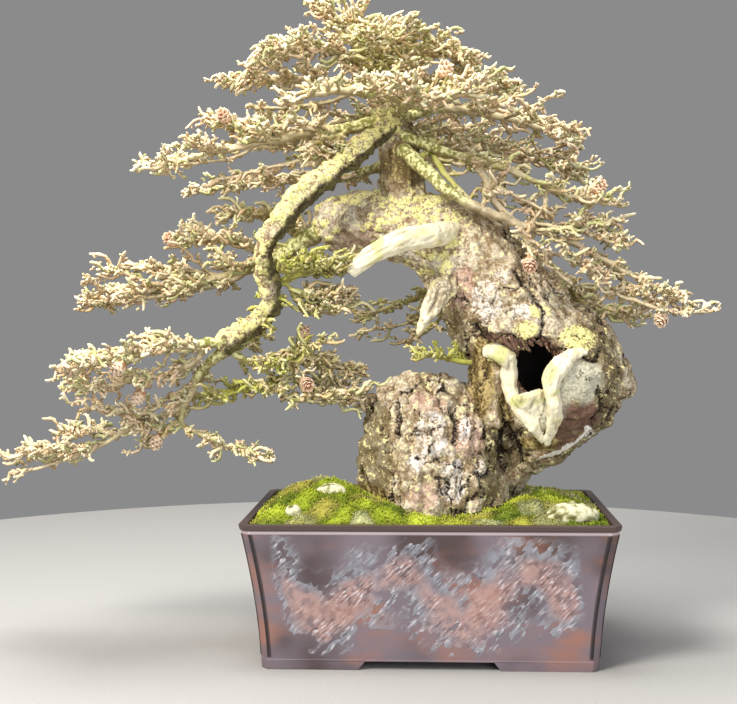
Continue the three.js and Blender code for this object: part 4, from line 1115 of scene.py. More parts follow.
        Arm([(56, 44, 420), (20, 78, 424), (-18, 98, 414), (-56, 110, 402), (-94, 118, 386)], (6, 1.5), 46,
            0.1, moss=0.6, reach=0.6, full=0.3),
        Arm([(32, 67, 423), (29, 61, 407), (23, 60, 398), (6, 56, 381), (-14, 52, 368), (-34, 50, 360)],
            (2.4, 1.6), 12, -0.05, moss=0.6, full=0.45),
        Arm([(30, 63, 412), (26, 65, 410), (21, 70, 411), (-9, 82, 391), (-47, 90, 379), (-91, 95, 375)],
            (2.4, 1.6), 16, -0.05, moss=0.5, full=0.25),
    ]),
    Spray("neck_tuft", [
        Arm([(60, -20, 336), (24, -35, 343), (-4, -38, 347)], (4, 1.6), 14, 0.12, moss=1, reach=0.8,
            full=0.4),
    ]),
]


@dataclass
class Branches:
    """All sprays: stems, side branches, twigs and short shoots, grown by one seeded rule."""

    crowding: float = 0.2  # side branches for each millimetre of the root of what an arm covers
    side_places: int = 15  # the most that an arm has
    first_side: float = 0.14  # the share of an arm before its first one
    twig_places: int = 6
    twig_length: float = 30.0
    stem_twigs: int = 16  # twigs that stand on an arm itself
    shoots: int = 3  # short shoots on each twig
    shoot_length: float = 6.5
    twig_radius: float = 2.1
    shoot_radius: float = 1.85
    curl: float = 0.12  # how far a twig strays from its line, as a share of its length
    upturn: float = 0.05  # how far its end turns up, as a share too

    def arm_line(self, arm: Arm) -> Route:
        """The arm's route with its radius, which falls with the power 0.8 of the station's share."""
        share = np.linspace(0, 1, len(arm.route)) ** 0.8
        radius = arm.thick[0] + (arm.thick[1] - arm.thick[0]) * share
        return Route(np.column_stack([arm.route, radius]))

    def sides(self, arm: Arm, seed: int) -> dict[str, Array]:
        """Where each side branch starts, which way it goes, its length and its bend.

        The rule: their number is the crowding times the root of the arm's length times their reach,
        places are even along the arm, sides change every second place, the turn from the arm is 34 to
        68 degrees, and the longest stand in the arm's middle.

        Args:
            arm: The arm that carries them.
            seed: The arm's number, for the draws.

        Returns:
            One array for each property, with a row for each side branch.
        """
        line = self.arm_line(arm)
        cover = math.sqrt(arm.length() * arm.spread * arm.reach)
        count = round(min(self.crowding * cover, self.side_places) * (1 - arm.bare))
        j = np.arange(count)
        key = j + 40 * seed
        first = max(self.first_side, arm.bare)
        t = first + (1 - first) * (j + 0.5) / count + 0.02 * (draw(key, 1) - 0.5)
        start = line.at(t)
        along = line.along(t)
        level = unit(np.stack([along[:, 1], -along[:, 0], 0 * t], axis=1))
        side = by_turns(j // 2)
        turn = np.radians(34 + 34 * draw(key, 2))
        lift = arm.rise * (0.2 + 1.1 * draw(key, 3)) - 0.04 + arm.scatter * (draw(key, 10) - 0.5)
        way = unit(mix((along, np.cos(turn)), (level, side * np.sin(turn)), (UP, lift)))
        fullness = 0.4 + 0.6 * np.sin(np.pi * (0.12 + 0.8 * t))
        length = arm.reach * arm.spread * fullness * (0.7 + 0.6 * draw(key, 4))
        sway = unit(np.cross(way, UP))
        swing = 0.16 * (draw(key, 5) - 0.5) * length
        thick = np.maximum(2.9, 0.5 * start[:, 3])
        return {
            "key": key, "start": start[:, :3], "way": way, "length": length,
            "sway": sway, "swing": swing, "thick": thick,
        }

    def side_point(self, s: dict[str, Array], q: Array) -> Array:
        """Places on side branches at shares q: a straight run that bends up as q^2 and sways."""
        long, swing = s["length"][:, None], s["swing"][:, None]
        return s["start"][:, None] + mix(
            (s["way"][:, None], long * q), (s["sway"][:, None], swing * np.sin(1.6 * np.pi * q)),
            (UP, 0.14 * long * q**2),
        )

    def crooked(
        self, twigs: "Twigging", radius: float, sides: int, shape: tuple[tuple, tuple, tuple]
    ) -> Skin:
        """Many worm-like twigs with blunt ends.

        Each strays from its straight line along two directions across it, by sines of its own pitch and
        phase, and its end turns up with the square of the share. Its rings swell and shrink by turns.

        Args:
            twigs: Where they stand and how they grow.
            radius: Radius before the rings' own swelling.
            sides: Corners of a ring.
            shape: Three rows with a number for each ring: its share, its swelling, and how pale it is.

        Returns:
            The twigs as one skin.
        """
        q, swell, pale = (np.array(row) for row in shape)
        level = unit(np.cross(twigs.way, UP) + 1e-6)
        steep = np.cross(level, twigs.way)
        stray = []
        for salt in (21, 25):
            pitch = (0.6 + 1.0 * draw(twigs.key, salt))[:, None]
            phase = draw(twigs.key, salt + 1)[:, None]
            stray.append(np.sin(2 * np.pi * (pitch * q + phase)) - np.sin(2 * np.pi * phase))
        long = twigs.length[:, None]
        paths = twigs.foot[:, None] + mix(
            (twigs.way[:, None], long * q), (level[:, None], self.curl * long * stray[0]),
            (steep[:, None], self.curl * long * stray[1]), (UP, self.upturn * long * q**2),
        )
        radii = radius * swell * (0.78 + 0.45 * draw(twigs.key, 23))[:, None]
        marks = {"tip": pale, "tint": draw(twigs.key, 24)[:, None], "moss": twigs.moss[:, None]}
        return bundle(paths, radii, sides, marks)

    def side_twigs(self, arm: Arm, s: dict[str, Array], moss: Array) -> "Twigging":
        """The twigs of all side branches: forward, to both sides by turns, and up or down.

        Args:
            arm: The arm.
            s: Its side branches.
            moss: How green each of them is.

        Returns:
            A row for each twig.
        """
        i = np.arange(self.twig_places)
        key = (i[None] + 9 * s["key"][:, None]).astype(float)
        q = 0.16 + 0.84 * (i + 0.5) / self.twig_places
        foot = self.side_point(s, q)
        aside = by_turns(i) * (0.25 + 0.6 * draw(key, 7))
        way = unit(mix(
            (s["way"][:, None], 0.35 + 0.5 * draw(key, 6)), (s["sway"][:, None], aside),
            (UP, 1.05 * draw(key, 8) - 0.4 + arm.lean),
        ))
        length = arm.reach**0.5 * self.twig_length * (0.55 + 0.75 * draw(key, 9)) * (1.1 - 0.3 * q)
        green = np.repeat(moss[:, None], self.twig_places, axis=1)
        return Twigging(foot.reshape(-1, 3), way.reshape(-1, 3), length.ravel(), key.ravel(), green.ravel())

    def own_twigs(self, arm: Arm, seed: int) -> "Twigging":
        """Twigs that stand on the arm itself, forward and to all sides.

        Args:
            arm: The arm.
            seed: Its number, for the draws.

        Returns:
            A row for each twig.
        """
        line = self.arm_line(arm)
        n = np.arange(round(min(self.stem_twigs, 4 + arm.length() / 14)))
        key = n + 4000.0 + 60 * seed
        t = 0.12 + 0.88 * (n + draw(key, 11)) / len(n)
        t = arm.bare + (1 - arm.bare) * t
        along = line.along(t)
        level = unit(np.cross(along, UP))
        way = unit(mix(
            (along, 0.3 + 0.6 * draw(key, 12)), (level, 2.0 * (draw(key, 13) - 0.5)),
            (UP, 1.1 * draw(key, 14) - 0.4 + arm.lean),
        ))
        length = self.twig_length * (0.5 + 0.6 * draw(key, 15)) * min(1.0, 0.35 + arm.spread / 50)
        return Twigging(line.at(t)[:, :3], way, length, key, arm.moss * (1 - 0.5 * t))

    def shoots_on(self, twigs: "Twigging") -> "Twigging":
        """Short shoots along twigs, to both sides by turns and up.

        Args:
            twigs: The twigs that carry them.

        Returns:
            A row for each shoot.
        """
        made = []
        for i in range(self.shoots):
            key = twigs.key * 3.0 + i
            q = (i + 0.9 + 0.5 * draw(key, 31)) / (self.shoots + 1.1)
            side = unit(np.cross(twigs.way, UP) + 1e-6) * by_turns(i)
            up = 1.5 * draw(key, 33) - 0.6
            way = unit(mix((twigs.way, 0.5), (side, 0.3 + 0.7 * draw(key, 32)), (UP, up)))
            length = self.shoot_length * (0.6 + 0.8 * draw(key, 34))
            foot = twigs.foot + mix((twigs.way, twigs.length * q), (UP, self.upturn * twigs.length * q**2))
            made.append(Twigging(foot, way, length, key, twigs.moss))
        return Twigging.joined(made)

    def lumpy(self, skin: Skin, high: float) -> Skin:
        """The skin with each place moved by noise of up to high millimetres, as old bark is."""
        away = np.stack([rough_noise(skin.points, 8.0, 141 + k, 2) for k in range(3)], axis=1)
        return Skin(skin.points + 1.3 * high * away, skin.faces, skin.marks)

    def arm_skin(self, arm: Arm, seed: int) -> Skin:
        """One arm with all that grows on it.

        Args:
            arm: The arm.
            seed: Its number, for the draws.

        Returns:
            The arm's skin.
        """
        line = self.arm_line(arm)
        rings = int(arm.length() / np.clip(7.2 - 0.45 * arm.thick[0], 3.2, 6.0))
        t = np.linspace(0, 1, rings)
        stem = line.at(t)
        jog = strayed(stem[:, :3], 17.0, seed + 0.3)
        stem[:, :3] += 1.8 * jog * np.minimum(t * 6, 1)[:, None]
        wobble = 1 + 0.2 * rough_noise(stem[:, :3], 13.0, seed, 2)
        marks = {
            "tip": 0.02 + 0.25 * t, "tint": 0.45, "moss": arm.moss * (1 - 0.4 * t),
            "crust": (1 - ease(t, 0.16, 0.38)) * ease(stem[:, 3], 3.0, 5.5),
        }
        sides = int(np.clip(2 * arm.thick[0], 8, 16))
        skins = [self.lumpy(bundle(stem[None, :, :3], (stem[:, 3] * wobble)[None], sides, marks), 1.5)]
        s = self.sides(arm, seed)
        q = np.linspace(0, 1, 8)
        paths = self.side_point(s, q)
        jog = strayed(paths.reshape(-1, 3), 12.0, seed)
        paths = paths + 2.0 * jog.reshape(paths.shape) * np.minimum(q * 3, 1)[None, :, None]
        radii = s["thick"][:, None] * (1 - 0.4 * q) * (1 + 0.17 * np.cos(np.arange(len(q)) * np.pi))
        green = arm.moss * np.linspace(1, 0.6, len(radii))
        mossy = green[:, None] * (1 - 0.4 * q)
        marks = {"tip": 0.08 + 0.5 * q**2, "tint": draw(s["key"], 20)[:, None], "moss": mossy}
        skins.append(self.lumpy(bundle(paths, radii, 5, marks), 0.8))
        twigs = Twigging.joined([self.side_twigs(arm, s, 0.8 * green), self.own_twigs(arm, seed)])
        twigs = twigs.only(draw(twigs.key, 16) < arm.full)
        skins.append(self.crooked(twigs, self.twig_radius, 4, TWIG_RINGS))
        skins.append(self.crooked(self.shoots_on(twigs), self.shoot_radius, 3, SHOOT_RINGS))
        return together(skins)

    def stalk(self, foot: Array, middle: Array, key: float) -> Skin:
        """The twig that holds a cone: a straight run plus a hump of one half wave and noise, with sprigs.

        Args:
            foot: Where it leaves its arm.
            middle: The cone's middle.
            key: Its number, for the draws.

        Returns:
            The twig's skin.
        """
        run = np.linspace(0, 1, 12)
        hump = np.sin(np.pi * run)[:, None]
        path = foot + (middle - foot) * run[:, None] + UP * 3.0 * hump
        path = path + 3.6 * hump * strayed(path, 9.0, key)
        radii = 2.1 * (1 - 0.3 * run) * (1 + 0.16 * rough_noise(path, 5.0, key, 2))
        marks = {"tip": 0.1 + 0.3 * run, "tint": draw(key, 71)}
        n = np.arange(5)
        ahead = unit(middle - foot)
        side = unit(np.cross(ahead, UP) + 1e-6) * by_turns(n)[:, None]
        up = 1.6 * draw(n + key, 73) - 0.4
        way = unit(mix((ahead, 0.5), (side, 0.3 + 0.6 * draw(n + key, 72)), (UP, up)))
        sprigs = Twigging(path[2 * n + 2], way, 8 + 9 * draw(n + key, 74), n + 3.0 * key, 0.0 * n)
        stem = bundle(path[None], radii[None], 5, marks)
        return stem.joined(self.crooked(sprigs, self.twig_radius, 4, TWIG_RINGS))

    def build(self, twigs: Finish, scales: Finish) -> None:
        """Makes a piece for each spray, and one for all the cones.

        Args:
            twigs: The twigs' finish.
            scales: The cones' finish.
        """
        cones = []
        for number, spray in enumerate(SPRAY_LIST):
            skins = [self.arm_skin(arm, number + 30 * i) for i, arm in enumerate(spray.arms)]
            line = self.arm_line(spray.arms[0])
            for k, (t, *place) in enumerate(spray.cones):
                middle = np.array(place, dtype=float)
                foot = line.at([t])[0, :3]
                skins.append(self.stalk(foot, middle, 7.0 * number + k))
                cones.append(Cone(middle, unit(middle - foot + 0.4 * UP), number * 10 + k))
            piece(f"{spray.name}_branch", together(skins), twigs, [f"spray_{spray.name}"])
        piece("cones", together([cone.skin() for cone in cones]), scales, [])


@dataclass
class Twigging:
    """Where twigs stand and how they grow: a row for each."""

    foot: Array
    way: Array
    length: Array
    key: Array
    moss: Array

    def only(self, kept: Array) -> "Twigging":
        """The twigs for which kept is true."""
        return Twigging(*(column[kept] for column in vars(self).values()))

    @staticmethod
    def joined(groups: list["Twigging"]) -> "Twigging":
        """Several groups of twigs as one."""
        columns = zip(*(vars(group).values() for group in groups))
        return Twigging(*(np.concatenate(column) for column in columns))


# For each ring of a twig and of a short shoot: its share of the length, its swelling, how pale it is.
TWIG_RINGS = (
    (0.0, 0.15, 0.32, 0.5, 0.7, 0.93, 1.0),
    (1.3, 0.95, 1.25, 0.85, 1.1, 0.8, 0.4),
    (0.2, 0.3, 0.42, 0.5, 0.66, 0.9, 1.0),
)
SHOOT_RINGS = ((0.0, 0.5, 0.85, 1.0), (1.0, 1.05, 0.95, 0.45), (0.4, 0.55, 0.8, 1.0))
GOLDEN_ANGLE = math.radians(137.5)


@dataclass
class Cone:
    """A larch cone: an egg-shaped core covered with overlapping round scales along the golden angle."""

    middle: Array
    axis: Array
    number: int
    length: float = 18.0
    width: float = 15.0
    scales: int = 26

    def skin(self) -> Skin:
        """The core, and each scale as a curved leaf of 5 by 3 places with a back.

        A scale's place at (u, v) is its seat on the core, plus v times its reach along the surface and a
        lift that grows with v, so that the rims stand off. The rim is round: its sides fall with u^2.

        Returns:
            The cone's skin.
        """
        up = unit(self.axis)
        right = unit(np.cross(up, [0.3, 0.8, 0.2]))
        front = np.cross(right, up)
        k = np.arange(self.scales)
        h = (k + 0.5) / self.scales
        angle = k * GOLDEN_ANGLE + self.number
        u, v = np.meshgrid(np.linspace(-1, 1, 5), np.linspace(0, 1, 3))
        u, v = u.ravel()[None], v.ravel()[None]
        radius = self.radius(h)[:, None]
        turn = angle[:, None] + 0.72 * u * np.sqrt(1 - 0.5 * v**2)
        height = (h[:, None] - 0.5) * self.length * 0.86 + self.length * 0.27 * v * (1 - 0.3 * u**2)
        out = radius * self.width / 2 * 0.84 + 0.4 + 2.2 * v**1.4 - 0.6 * u**2
        spoke = mix((right, np.cos(turn)), (front, np.sin(turn)))
        outer = self.middle + mix((spoke, out), (up, height))
        inner = outer - spoke * 0.8
        grid = sheet_grid(5, 3)
        border = rim_of(5, 3)
        after = np.roll(border, -1)
        side = u.size  # places on one side of a scale
        wall = np.stack([after, border, border + side, after + side], axis=1)
        offset = (np.arange(self.scales) * 2 * side)[:, None, None]
        faces = [(f[None] + offset).reshape(-1, 4) for f in (grid, grid[:, ::-1] + side, wall)]
        # Edge runs from each scale's seat to its rim, for painted shade and highlight; the back is half as
        # pale.
        edge = np.tile(np.concatenate([v.ravel(), 0.5 * v.ravel()]), self.scales)
        points = np.concatenate([outer, inner], axis=1).reshape(-1, 3)
        tint = np.full(len(points), float(draw(self.number, 41)))
        return self.core(up).joined(Skin(points, faces, {"edge": edge, "tint": tint}))

    def radius(self, h: Array) -> Array:
        """The core's radius as a share of its widest, at a share h of its height."""
        return np.sin(np.pi * np.clip(0.16 + 0.76 * h, 0, 1)) ** 0.8

    def core(self, up: Array) -> Skin:
        """The egg under the scales, 7 rings of 10."""
        h = np.linspace(0.0, 1.0, 7)
        path = self.middle + up * ((h - 0.5) * self.length * 0.86)[:, None]
        radii = self.radius(h) * self.width / 2 * 0.8
        # The core under the scales takes the gaps' dark colour, as painted shade.
        return bundle(path[None], radii[None], 10, {"edge": 0.0, "tint": 0.5})


# Trunk and deadwood

# Crevices in the trunk's front, as places (x, z) in millimetres.
CREVICES = [
    [(99, 441), (116, 421), (132, 400), (132, 380), (124, 361)],
    [(51, 382), (63, 369), (77, 365), (97, 368), (109, 359)],
    [(137, 352), (150, 356), (163, 353), (177, 347), (191, 341), (199, 355)],
    [(89, 486), (105, 474), (122, 455), (133, 435), (147, 421)],
    [(89, 267), (96, 250), (105, 233), (112, 218)],
    [(-36, 293), (-35, 275), (-37, 256)],
    [(27, 288), (32, 270), (30, 250)],
    [(85, 291), (88, 274), (81, 251), (85, 217)],
    [(196, 304), (202, 284), (190, 268)],
]
# The pale rim of the bare face's lower edge.
LOWER_RIM = [(130, 226), (152, 234), (172, 248), (184, 262)]
# The hollow's mouth lies round this line, and its inside, painted near black as shadow, round this place,
# with half sizes.
HOLLOW_SPINE = [(124, 312), (121, 330), (130, 345)]
HOLLOW_MIDDLE, HOLLOW_HALF = [119, -26, 330], [28, 50, 40]
# The middle line of the long limb on the left.
LIMB = [
    (-44, -8, 622), (-60, -32, 602), (-88, -54, 576), (-120, -70, 550), (-152, -80, 523), (-174, -85, 493),
    (-188, -80, 464), (-182, -66, 432), (-182, -60, 402), (-208, -62, 380), (-240, -62, 360),
]


class Blotch(Enum):
    """Patches on the trunk's front: the salt of their crooked edges, then x, z and half sizes of each."""

    WHITE = (139, [(2, 258, 22, 30), (26, 205, 18, 28), (-14, 228, 10, 16), (40, 262, 8, 20),
        (60, 218, 8, 14), (67, 408, 22, 28), (106, 398, 14, 12), (86, 440, 12, 12), (186, 256, 8, 8),
        (-30, 470, 18, 8)])
    YELLOW = (137, [(112, 374, 14, 15), (172, 366, 24, 16), (-105, 508, 16, 12), (-74, 514, 22, 12),
        (-30, 514, 26, 14), (0, 504, 26, 16), (24, 484, 16, 16), (74, 350, 16, 10), (128, 398, 14, 10)])
    PINK = (141, [(-84, 478, 34, 18), (41, 435, 14, 20), (35, 415, 12, 14), (-8, 189, 20, 16),
        (1, 292, 22, 12), (47, 253, 18, 22)])
    OCHRE = (133, [(-34, 575, 26, 26), (62, 322, 15, 52), (-66, 184, 18, 16), (90, 286, 12, 26),
        (130, 244, 24, 10)])
    RED = (143, [(172, 274, 30, 22), (150, 250, 26, 14)])
    BARE = (131, [(174, 318, 25, 27), (128, 300, 34, 40)])
    # Weathered olive-brown bark, and painted shade on the trunk's right mass.
    AGED = (147, [(-62, 235, 20, 60), (72, 225, 16, 50), (190, 300, 34, 90), (180, 246, 46, 26),
        (100, 240, 30, 26), (24, 390, 12, 50)])


@dataclass
class Zones:
    """The places of the trunk's skin, and where each kind of bark lies, from 0 to 1 for each place."""

    p: Array  # the places in millimetres
    normal: Array  # the skin's direction at each
    wander: Array  # the places, strayed, so that lines on the bark run crooked
    facing: Array  # turned to the front
    sky: Array  # turned up
    limb: Array
    apex: Array
    burl: Array
    head: Array
    bare: Array
    ochre: Array
    red: Array
    seam: Array
    mouth: Array  # millimetres outside the edge of the hollow's mouth
    front: Array  # the mouth itself
    inside: Array
    rim: Array  # millimetres from the bare face's lower rim

    @property
    def slim(self) -> Array:
        """The parts that are thin: limb and apex."""
        return np.maximum(self.limb, self.apex)

    @property
    def patched(self) -> Array:
        """The parts with crusts of lichen: limb and head."""
        return np.maximum(self.limb, self.head)


@dataclass
class Grain:
    """The bark's own noises, one value of each for each place."""

    plate: Array
    flake: Array
    crumb: Array
    scar: Array
    strand: Array
    cloud: Array
    gap: Array  # 1 in the gaps between crusts of lichen
    crusted: Array  # 1 on those crusts


@dataclass
class Trunk:
    """The trunk's bark: stepped plates, crumbs, crevices, lichens, fibres and a bare worn face.

    The parts end at places on the trunk, in millimetres, and each end is a smooth step.
    """

    net: float = 2.45
    rounds: int = 5
    lumps: float = 3.0
    crumbs: float = 5.0
    strips: int = 26
    seam_width: float = 3.6
    ground: Span = (150, 172)  # height at which the bark comes out of the soil
    limb_end: Span = (17, 23)  # from the limb's middle line
    apex_foot: Span = (532, 552)  # height, as are all feet and tops
    head_foot: Span = (430, 450)
    head_right: Span = (20, 60)  # x
    burl_top: Span = (322, 340)
    burl_right: Span = (84, 96)  # x
    mouth_top: Span = (318, 350)
    hollow_foot: Span = (285, 300)
    plate: Size = (30.0, 30.0, 40.0)
    flake: Size = (13.0, 13.0, 19.0)
    crumb: Size = (14.0, 14.0, 22.0)
    scar: Size = (8.0, 8.0, 26.0)
    strand: Size = (5.0, 5.0, 34.0)
    crust: Size = (15.0, 15.0, 11.0)

    def build(self, bark: Finish) -> None:
        """Makes the trunk's piece from the CAD trunk's shape.

        Args:
            bark: The bark's finish.
        """
        skin = remeshed("trunk", self.net, self.rounds)
        zone = self.zones(skin.points, outward(skin))
        grain = self.grain(zone)
        height = self.relief(zone, grain) * ease(zone.p[:, 2], *self.ground)
        skin.points = zone.p + mix((zone.normal, height))
        skin.marks = self.marks(zone, grain)
        piece("bark", skin.joined(self.splinters()), bark, ["trunk"])

    def zones(self, p: Array, normal: Array) -> Zones:
        """Where the trunk's parts and its hollow lie, by smooth steps of place and of direction.

        Args:
            p: Places in millimetres.
            normal: The skin's direction at each place.

        Returns:
            The zones.
        """
        x, y, z = p.T
        wander = p + 2.6 * strayed(p, 12.0, 61)
        facing = ease(-normal[:, 1], -0.25, 0.25)
        limb = 1 - ease(near_line(p, LIMB), *self.limb_end)
        apex = ease(z, *self.apex_foot) * (1 - limb)
        thick = 1 - np.maximum(limb, apex)
        away = p + 3.5 * strayed(p, 9.0, 51)
        mouth = near_line(away[:, [0, 2]], HOLLOW_SPINE) - 9.0 - 12.0 * ease(z, *self.mouth_top)
        front = (1 - ease(mouth, 0, 4)) * ease(-normal[:, 1], -0.9, 0.2) * (1 - ease(y, -30, 0))
        deep = 1 - ease(np.linalg.norm((p - HOLLOW_MIDDLE) / HOLLOW_HALF, axis=1), 0.75, 1.05)
        nearest = np.minimum.reduce([near_line(wander[:, [0, 2]], line) for line in CREVICES])
        return Zones(
            p=p, normal=normal, wander=wander, mouth=mouth,
            facing=facing, limb=limb, apex=apex, front=front,
            sky=ease(normal[:, 2], -0.3, 0.8),
            burl=(1 - ease(x, *self.burl_right)) * (1 - ease(z, *self.burl_top)) * (1 - limb),
            head=(1 - ease(x, *self.head_right)) * ease(z, *self.head_foot) * thick,
            bare=self.blotches(p, Blotch.BARE) * facing,
            ochre=self.blotches(p, Blotch.OCHRE) * (1 - limb) * (1 - 0.4 * apex),
            red=self.blotches(p, Blotch.RED) * facing,
            seam=np.exp(-((nearest / self.seam_width) ** 2)) * facing * thick,
            inside=np.maximum(front, deep * ease(z, *self.hollow_foot)),
            rim=near_line(wander[:, [0, 2]], LOWER_RIM),
        )

    def grain(self, zone: Zones) -> Grain:
        """The bark's noises, each stretched up the trunk by its own size.

        Args:
            zone: The places and their zones.

        Returns:
            The noises.
        """
        p = zone.p
        cloud = rough_noise(p, 26.0, 11, 3)
        edge, owner = cracked(zone.wander, self.crust, 121)
        crust = ease(owner + 0.35 * zone.sky + 0.25 * zone.limb + 0.3 * cloud, 0.45, 0.8)
        return Grain(
            plate=rough_noise(p, self.plate, 1, 3),
            flake=rough_noise(p, self.flake, 2, 3),
            crumb=billow(p, self.crumb, 7, 3) - 0.6,
            scar=rough_noise(p, self.scar, 8, 3),
            strand=rough_noise(p, self.strand, 15, 3),
            cloud=cloud,
            gap=1 - ease(edge, 0.0, 0.12),
            crusted=crust * ease(edge, 0.03, 0.2),
        )

    def stepped(self, noise: Array, groove: float, step: float) -> Array:
        """Plates from a noise: a groove where it passes 0, and a step up from its low to its high side."""
        return groove * (ease(np.abs(noise), 0.0, 0.12) - 0.7) + step * (ease(noise, -0.06, 0.06) - 0.5)

    def relief(self, zone: Zones, grain: Grain) -> Array:
        """How far the bark stands off the CAD surface: lumps, plates, flakes and crumbs, less its seams.

        Bare wood, fibres and the hollow's inside are smoother, and crusts of lichen stand proud.

        Args:
            zone: The places and their zones.
            grain: The bark's noises.

        Returns:
            The height of each place in millimetres.
        """
        slim = zone.slim
        broad = rough_noise(zone.p, 36.0, 5, 2) * (1 - 0.7 * slim)
        broad += 1.1 * zone.limb * rough_noise(zone.p, 19.0, 6, 2)
        height = self.lumps * broad + (1 - slim) * self.stepped(grain.plate, 2.2, 2.4)
        height += (1 - 0.4 * slim) * self.stepped(grain.flake, 1.5, 1.8)
        height += (0.5 + 0.7 * zone.burl + 0.3 * slim) * self.crumbs * grain.crumb
        height += 2.4 * zone.burl * grain.scar
        height = height * (1 - 0.85 * zone.bare) * (1 - 0.6 * zone.ochre) * (1 - 0.5 * zone.inside)
        height += 3.0 * grain.strand * zone.ochre - 6.5 * zone.seam - 8.0 * zone.front
        height += 2.0 * zone.facing * (1 - ease(zone.rim, 2, 6))
        return height + zone.patched * (1.6 * grain.crusted - 1.2 * grain.gap)

    def marks(self, zone: Zones, grain: Grain) -> dict[str, Array]:
        """The attributes that the bark's finish reads.

        Args:
            zone: The places and their zones.
            grain: The bark's noises.

        Returns:
            One value of each attribute for each place.
        """
        p = zone.p
        facing, head, slim = zone.facing, zone.head, zone.slim
        scar = zone.burl * grain.scar
        # The crack mark is 0 in fissures and crumb valleys, painted near black: partly the inner bark's
        # dark, partly painted shade.
        crack = ease(np.abs(grain.plate), 0.0, 0.07) * (0.4 + 0.6 * ease(np.abs(grain.flake), 0.0, 0.09))
        crack = crack * (0.35 + 0.65 * ease(grain.crumb + 0.25 * scar, -0.42, -0.1))
        crack = 1 - (1 - crack) * (1 - 0.5 * slim - 0.65 * head)
        crack = crack * (1 - 0.55 * zone.patched * grain.gap)
        hue = 0.35 + 0.4 * ease(grain.flake, -0.2, 0.2) + 0.35 * grain.cloud + 0.5 * scar
        # The head is made paler as painted light, and the apex browner and darker where it doesn't face up,
        # as painted shade.
        hue = hue + 0.3 * head - 0.4 * zone.apex * (1 - zone.sky)
        yellow = np.maximum.reduce([
            0.75 * self.blotches(p, Blotch.YELLOW) * facing * (1 - 0.8 * head),
            0.12 + 0.3 * zone.sky * zone.apex,
            zone.patched * (0.08 + 0.2 * zone.limb + 0.75 * grain.crusted),
        ])
        rimmed = 1.2 * facing * (1 - ease(zone.rim, 1.5, 4.0))
        white = np.maximum(0.7 * self.blotches(p, Blotch.WHITE) * facing, rimmed)
        plain = np.maximum(zone.red, np.clip(zone.ochre, 0, 1))  # these carry no specks of lichen
        shallow = 0.85 * ease(p[:, 2], 334, 350)
        return {
            # The sunk crevices' seams are painted near black too, as shade.
            "crack": np.clip(crack + 0.3 * zone.bare, 0, 1) * (1 - zone.seam),
            "hue": np.clip(hue, 0, 1),
            "yellow": np.clip(yellow, 0, 1) * (1 - zone.seam) * (1 - zone.red) - 0.2 * plain,
            "white": np.clip(white + 0.3 * grain.cloud, 0, 1) - 0.3 * plain * (white < 0.5),
            "pink": self.blotches(p, Blotch.PINK) * facing,
            "ochre": np.clip(zone.ochre, 0, 1), "strand": grain.strand, "slim": slim,
            "red": zone.red, "bare": zone.bare, "hollow": zone.inside,
            # How far into the hollow a place lies: the finish paints it near black there as shadow, less
            # near the hollow's top.
            "depth": ease(-zone.mouth, 2.0, 9.0) * (1 - shallow) + ease(p[:, 1], -44, -34),
            # Under: where the bark faces down, and on the thin parts also where it faces right, for painted
            # shade.
            "under": ease(0.7 * slim * zone.normal[:, 0] - zone.normal[:, 2], 0.0, 0.75),
            "aged": self.blotches(p, Blotch.AGED) * (1 - zone.bare),
        }

    def splinters(self) -> Skin:
        """Torn wood that hangs in the hollow's mouth, in strips.

        A strip's radius falls with the square root of the share that is left of its length.

        Returns:
            The strips' skin.
        """
        n = np.arange(self.strips)
        t = (n + draw(n, 151)) / self.strips
        foot = np.stack([64 + 72 * t, -55 - 9 * draw(n, 152), 370 - 10 * t + 6 * draw(n, 153)], axis=1)
        sideways, outwards = 0.1 + 1.1 * draw(n, 154), -0.1 - 0.2 * draw(n, 155)
        way = unit(np.stack([sideways, outwards, np.full(len(n), -1.0)], axis=1))
        q = np.linspace(0, 1, 6)
        long = (7 + 19 * draw(n, 156) ** 2) * np.sin(np.pi * (0.15 + 0.65 * t))
        paths = foot[:, None] + mix((way[:, None], long[:, None] * q))
        paths = paths + 1.2 * strayed(paths.reshape(-1, 3), 7.0, 157).reshape(paths.shape)
        radii = (1.5 + 2.6 * draw(n, 160))[:, None] * np.sqrt(1.04 - q)
        tone = draw(n, 161)[:, None]
        marks = {"crack": 0.25 + 0.5 * tone, "hue": 0.2, "red": 1.0, "strand": 2 * tone - 1}
        return bundle(paths, radii, 6, marks)

    def blotches(self, p: Array, kind: Blotch) -> Array:
        """Blotches with crooked edges, seen from the front: 1 in the core of an ellipse, 0 outside it.

        Args:
            p: Places in millimetres.
            kind: Which patches.

        Returns:
            One value for each place.
        """
        salt, places = kind.value
        crooked = 0.28 * rough_noise(p, 12.0, salt, 3)
        best = np.zeros(len(p))
        for x, z, wide, high in places:
            away = np.hypot((p[:, 0] - x) / wide, (p[:, 2] - z) / high) + crooked
            best = np.maximum(best, 1 - ease(away, 0.7, 1.15))
        return best


# Where the hollow's lips are broad: a place, its size in millimetres and how far it swells there.
LIP_LOBES = [
    (np.array([84, -74, 347]), np.array([20, 30, 13]), 4.5),
    (np.array([160, -72, 334]), np.array([14, 30, 14]), 4.0),
    (np.array([100, -74, 300]), np.array([12, 30, 22]), 2.0),
]

# Each piece of deadwood: its node, the way that its grain runs, and how worn it is.
DEADWOOD = [
    ("jin_upper", (0.9, 0.0, 0.45), 0.0),
    ("jin_lower", (0.45, 0.2, 0.9), 1.0),
    ("hollow_lips", (0.2, 0.0, 1.0), 0.0),
]


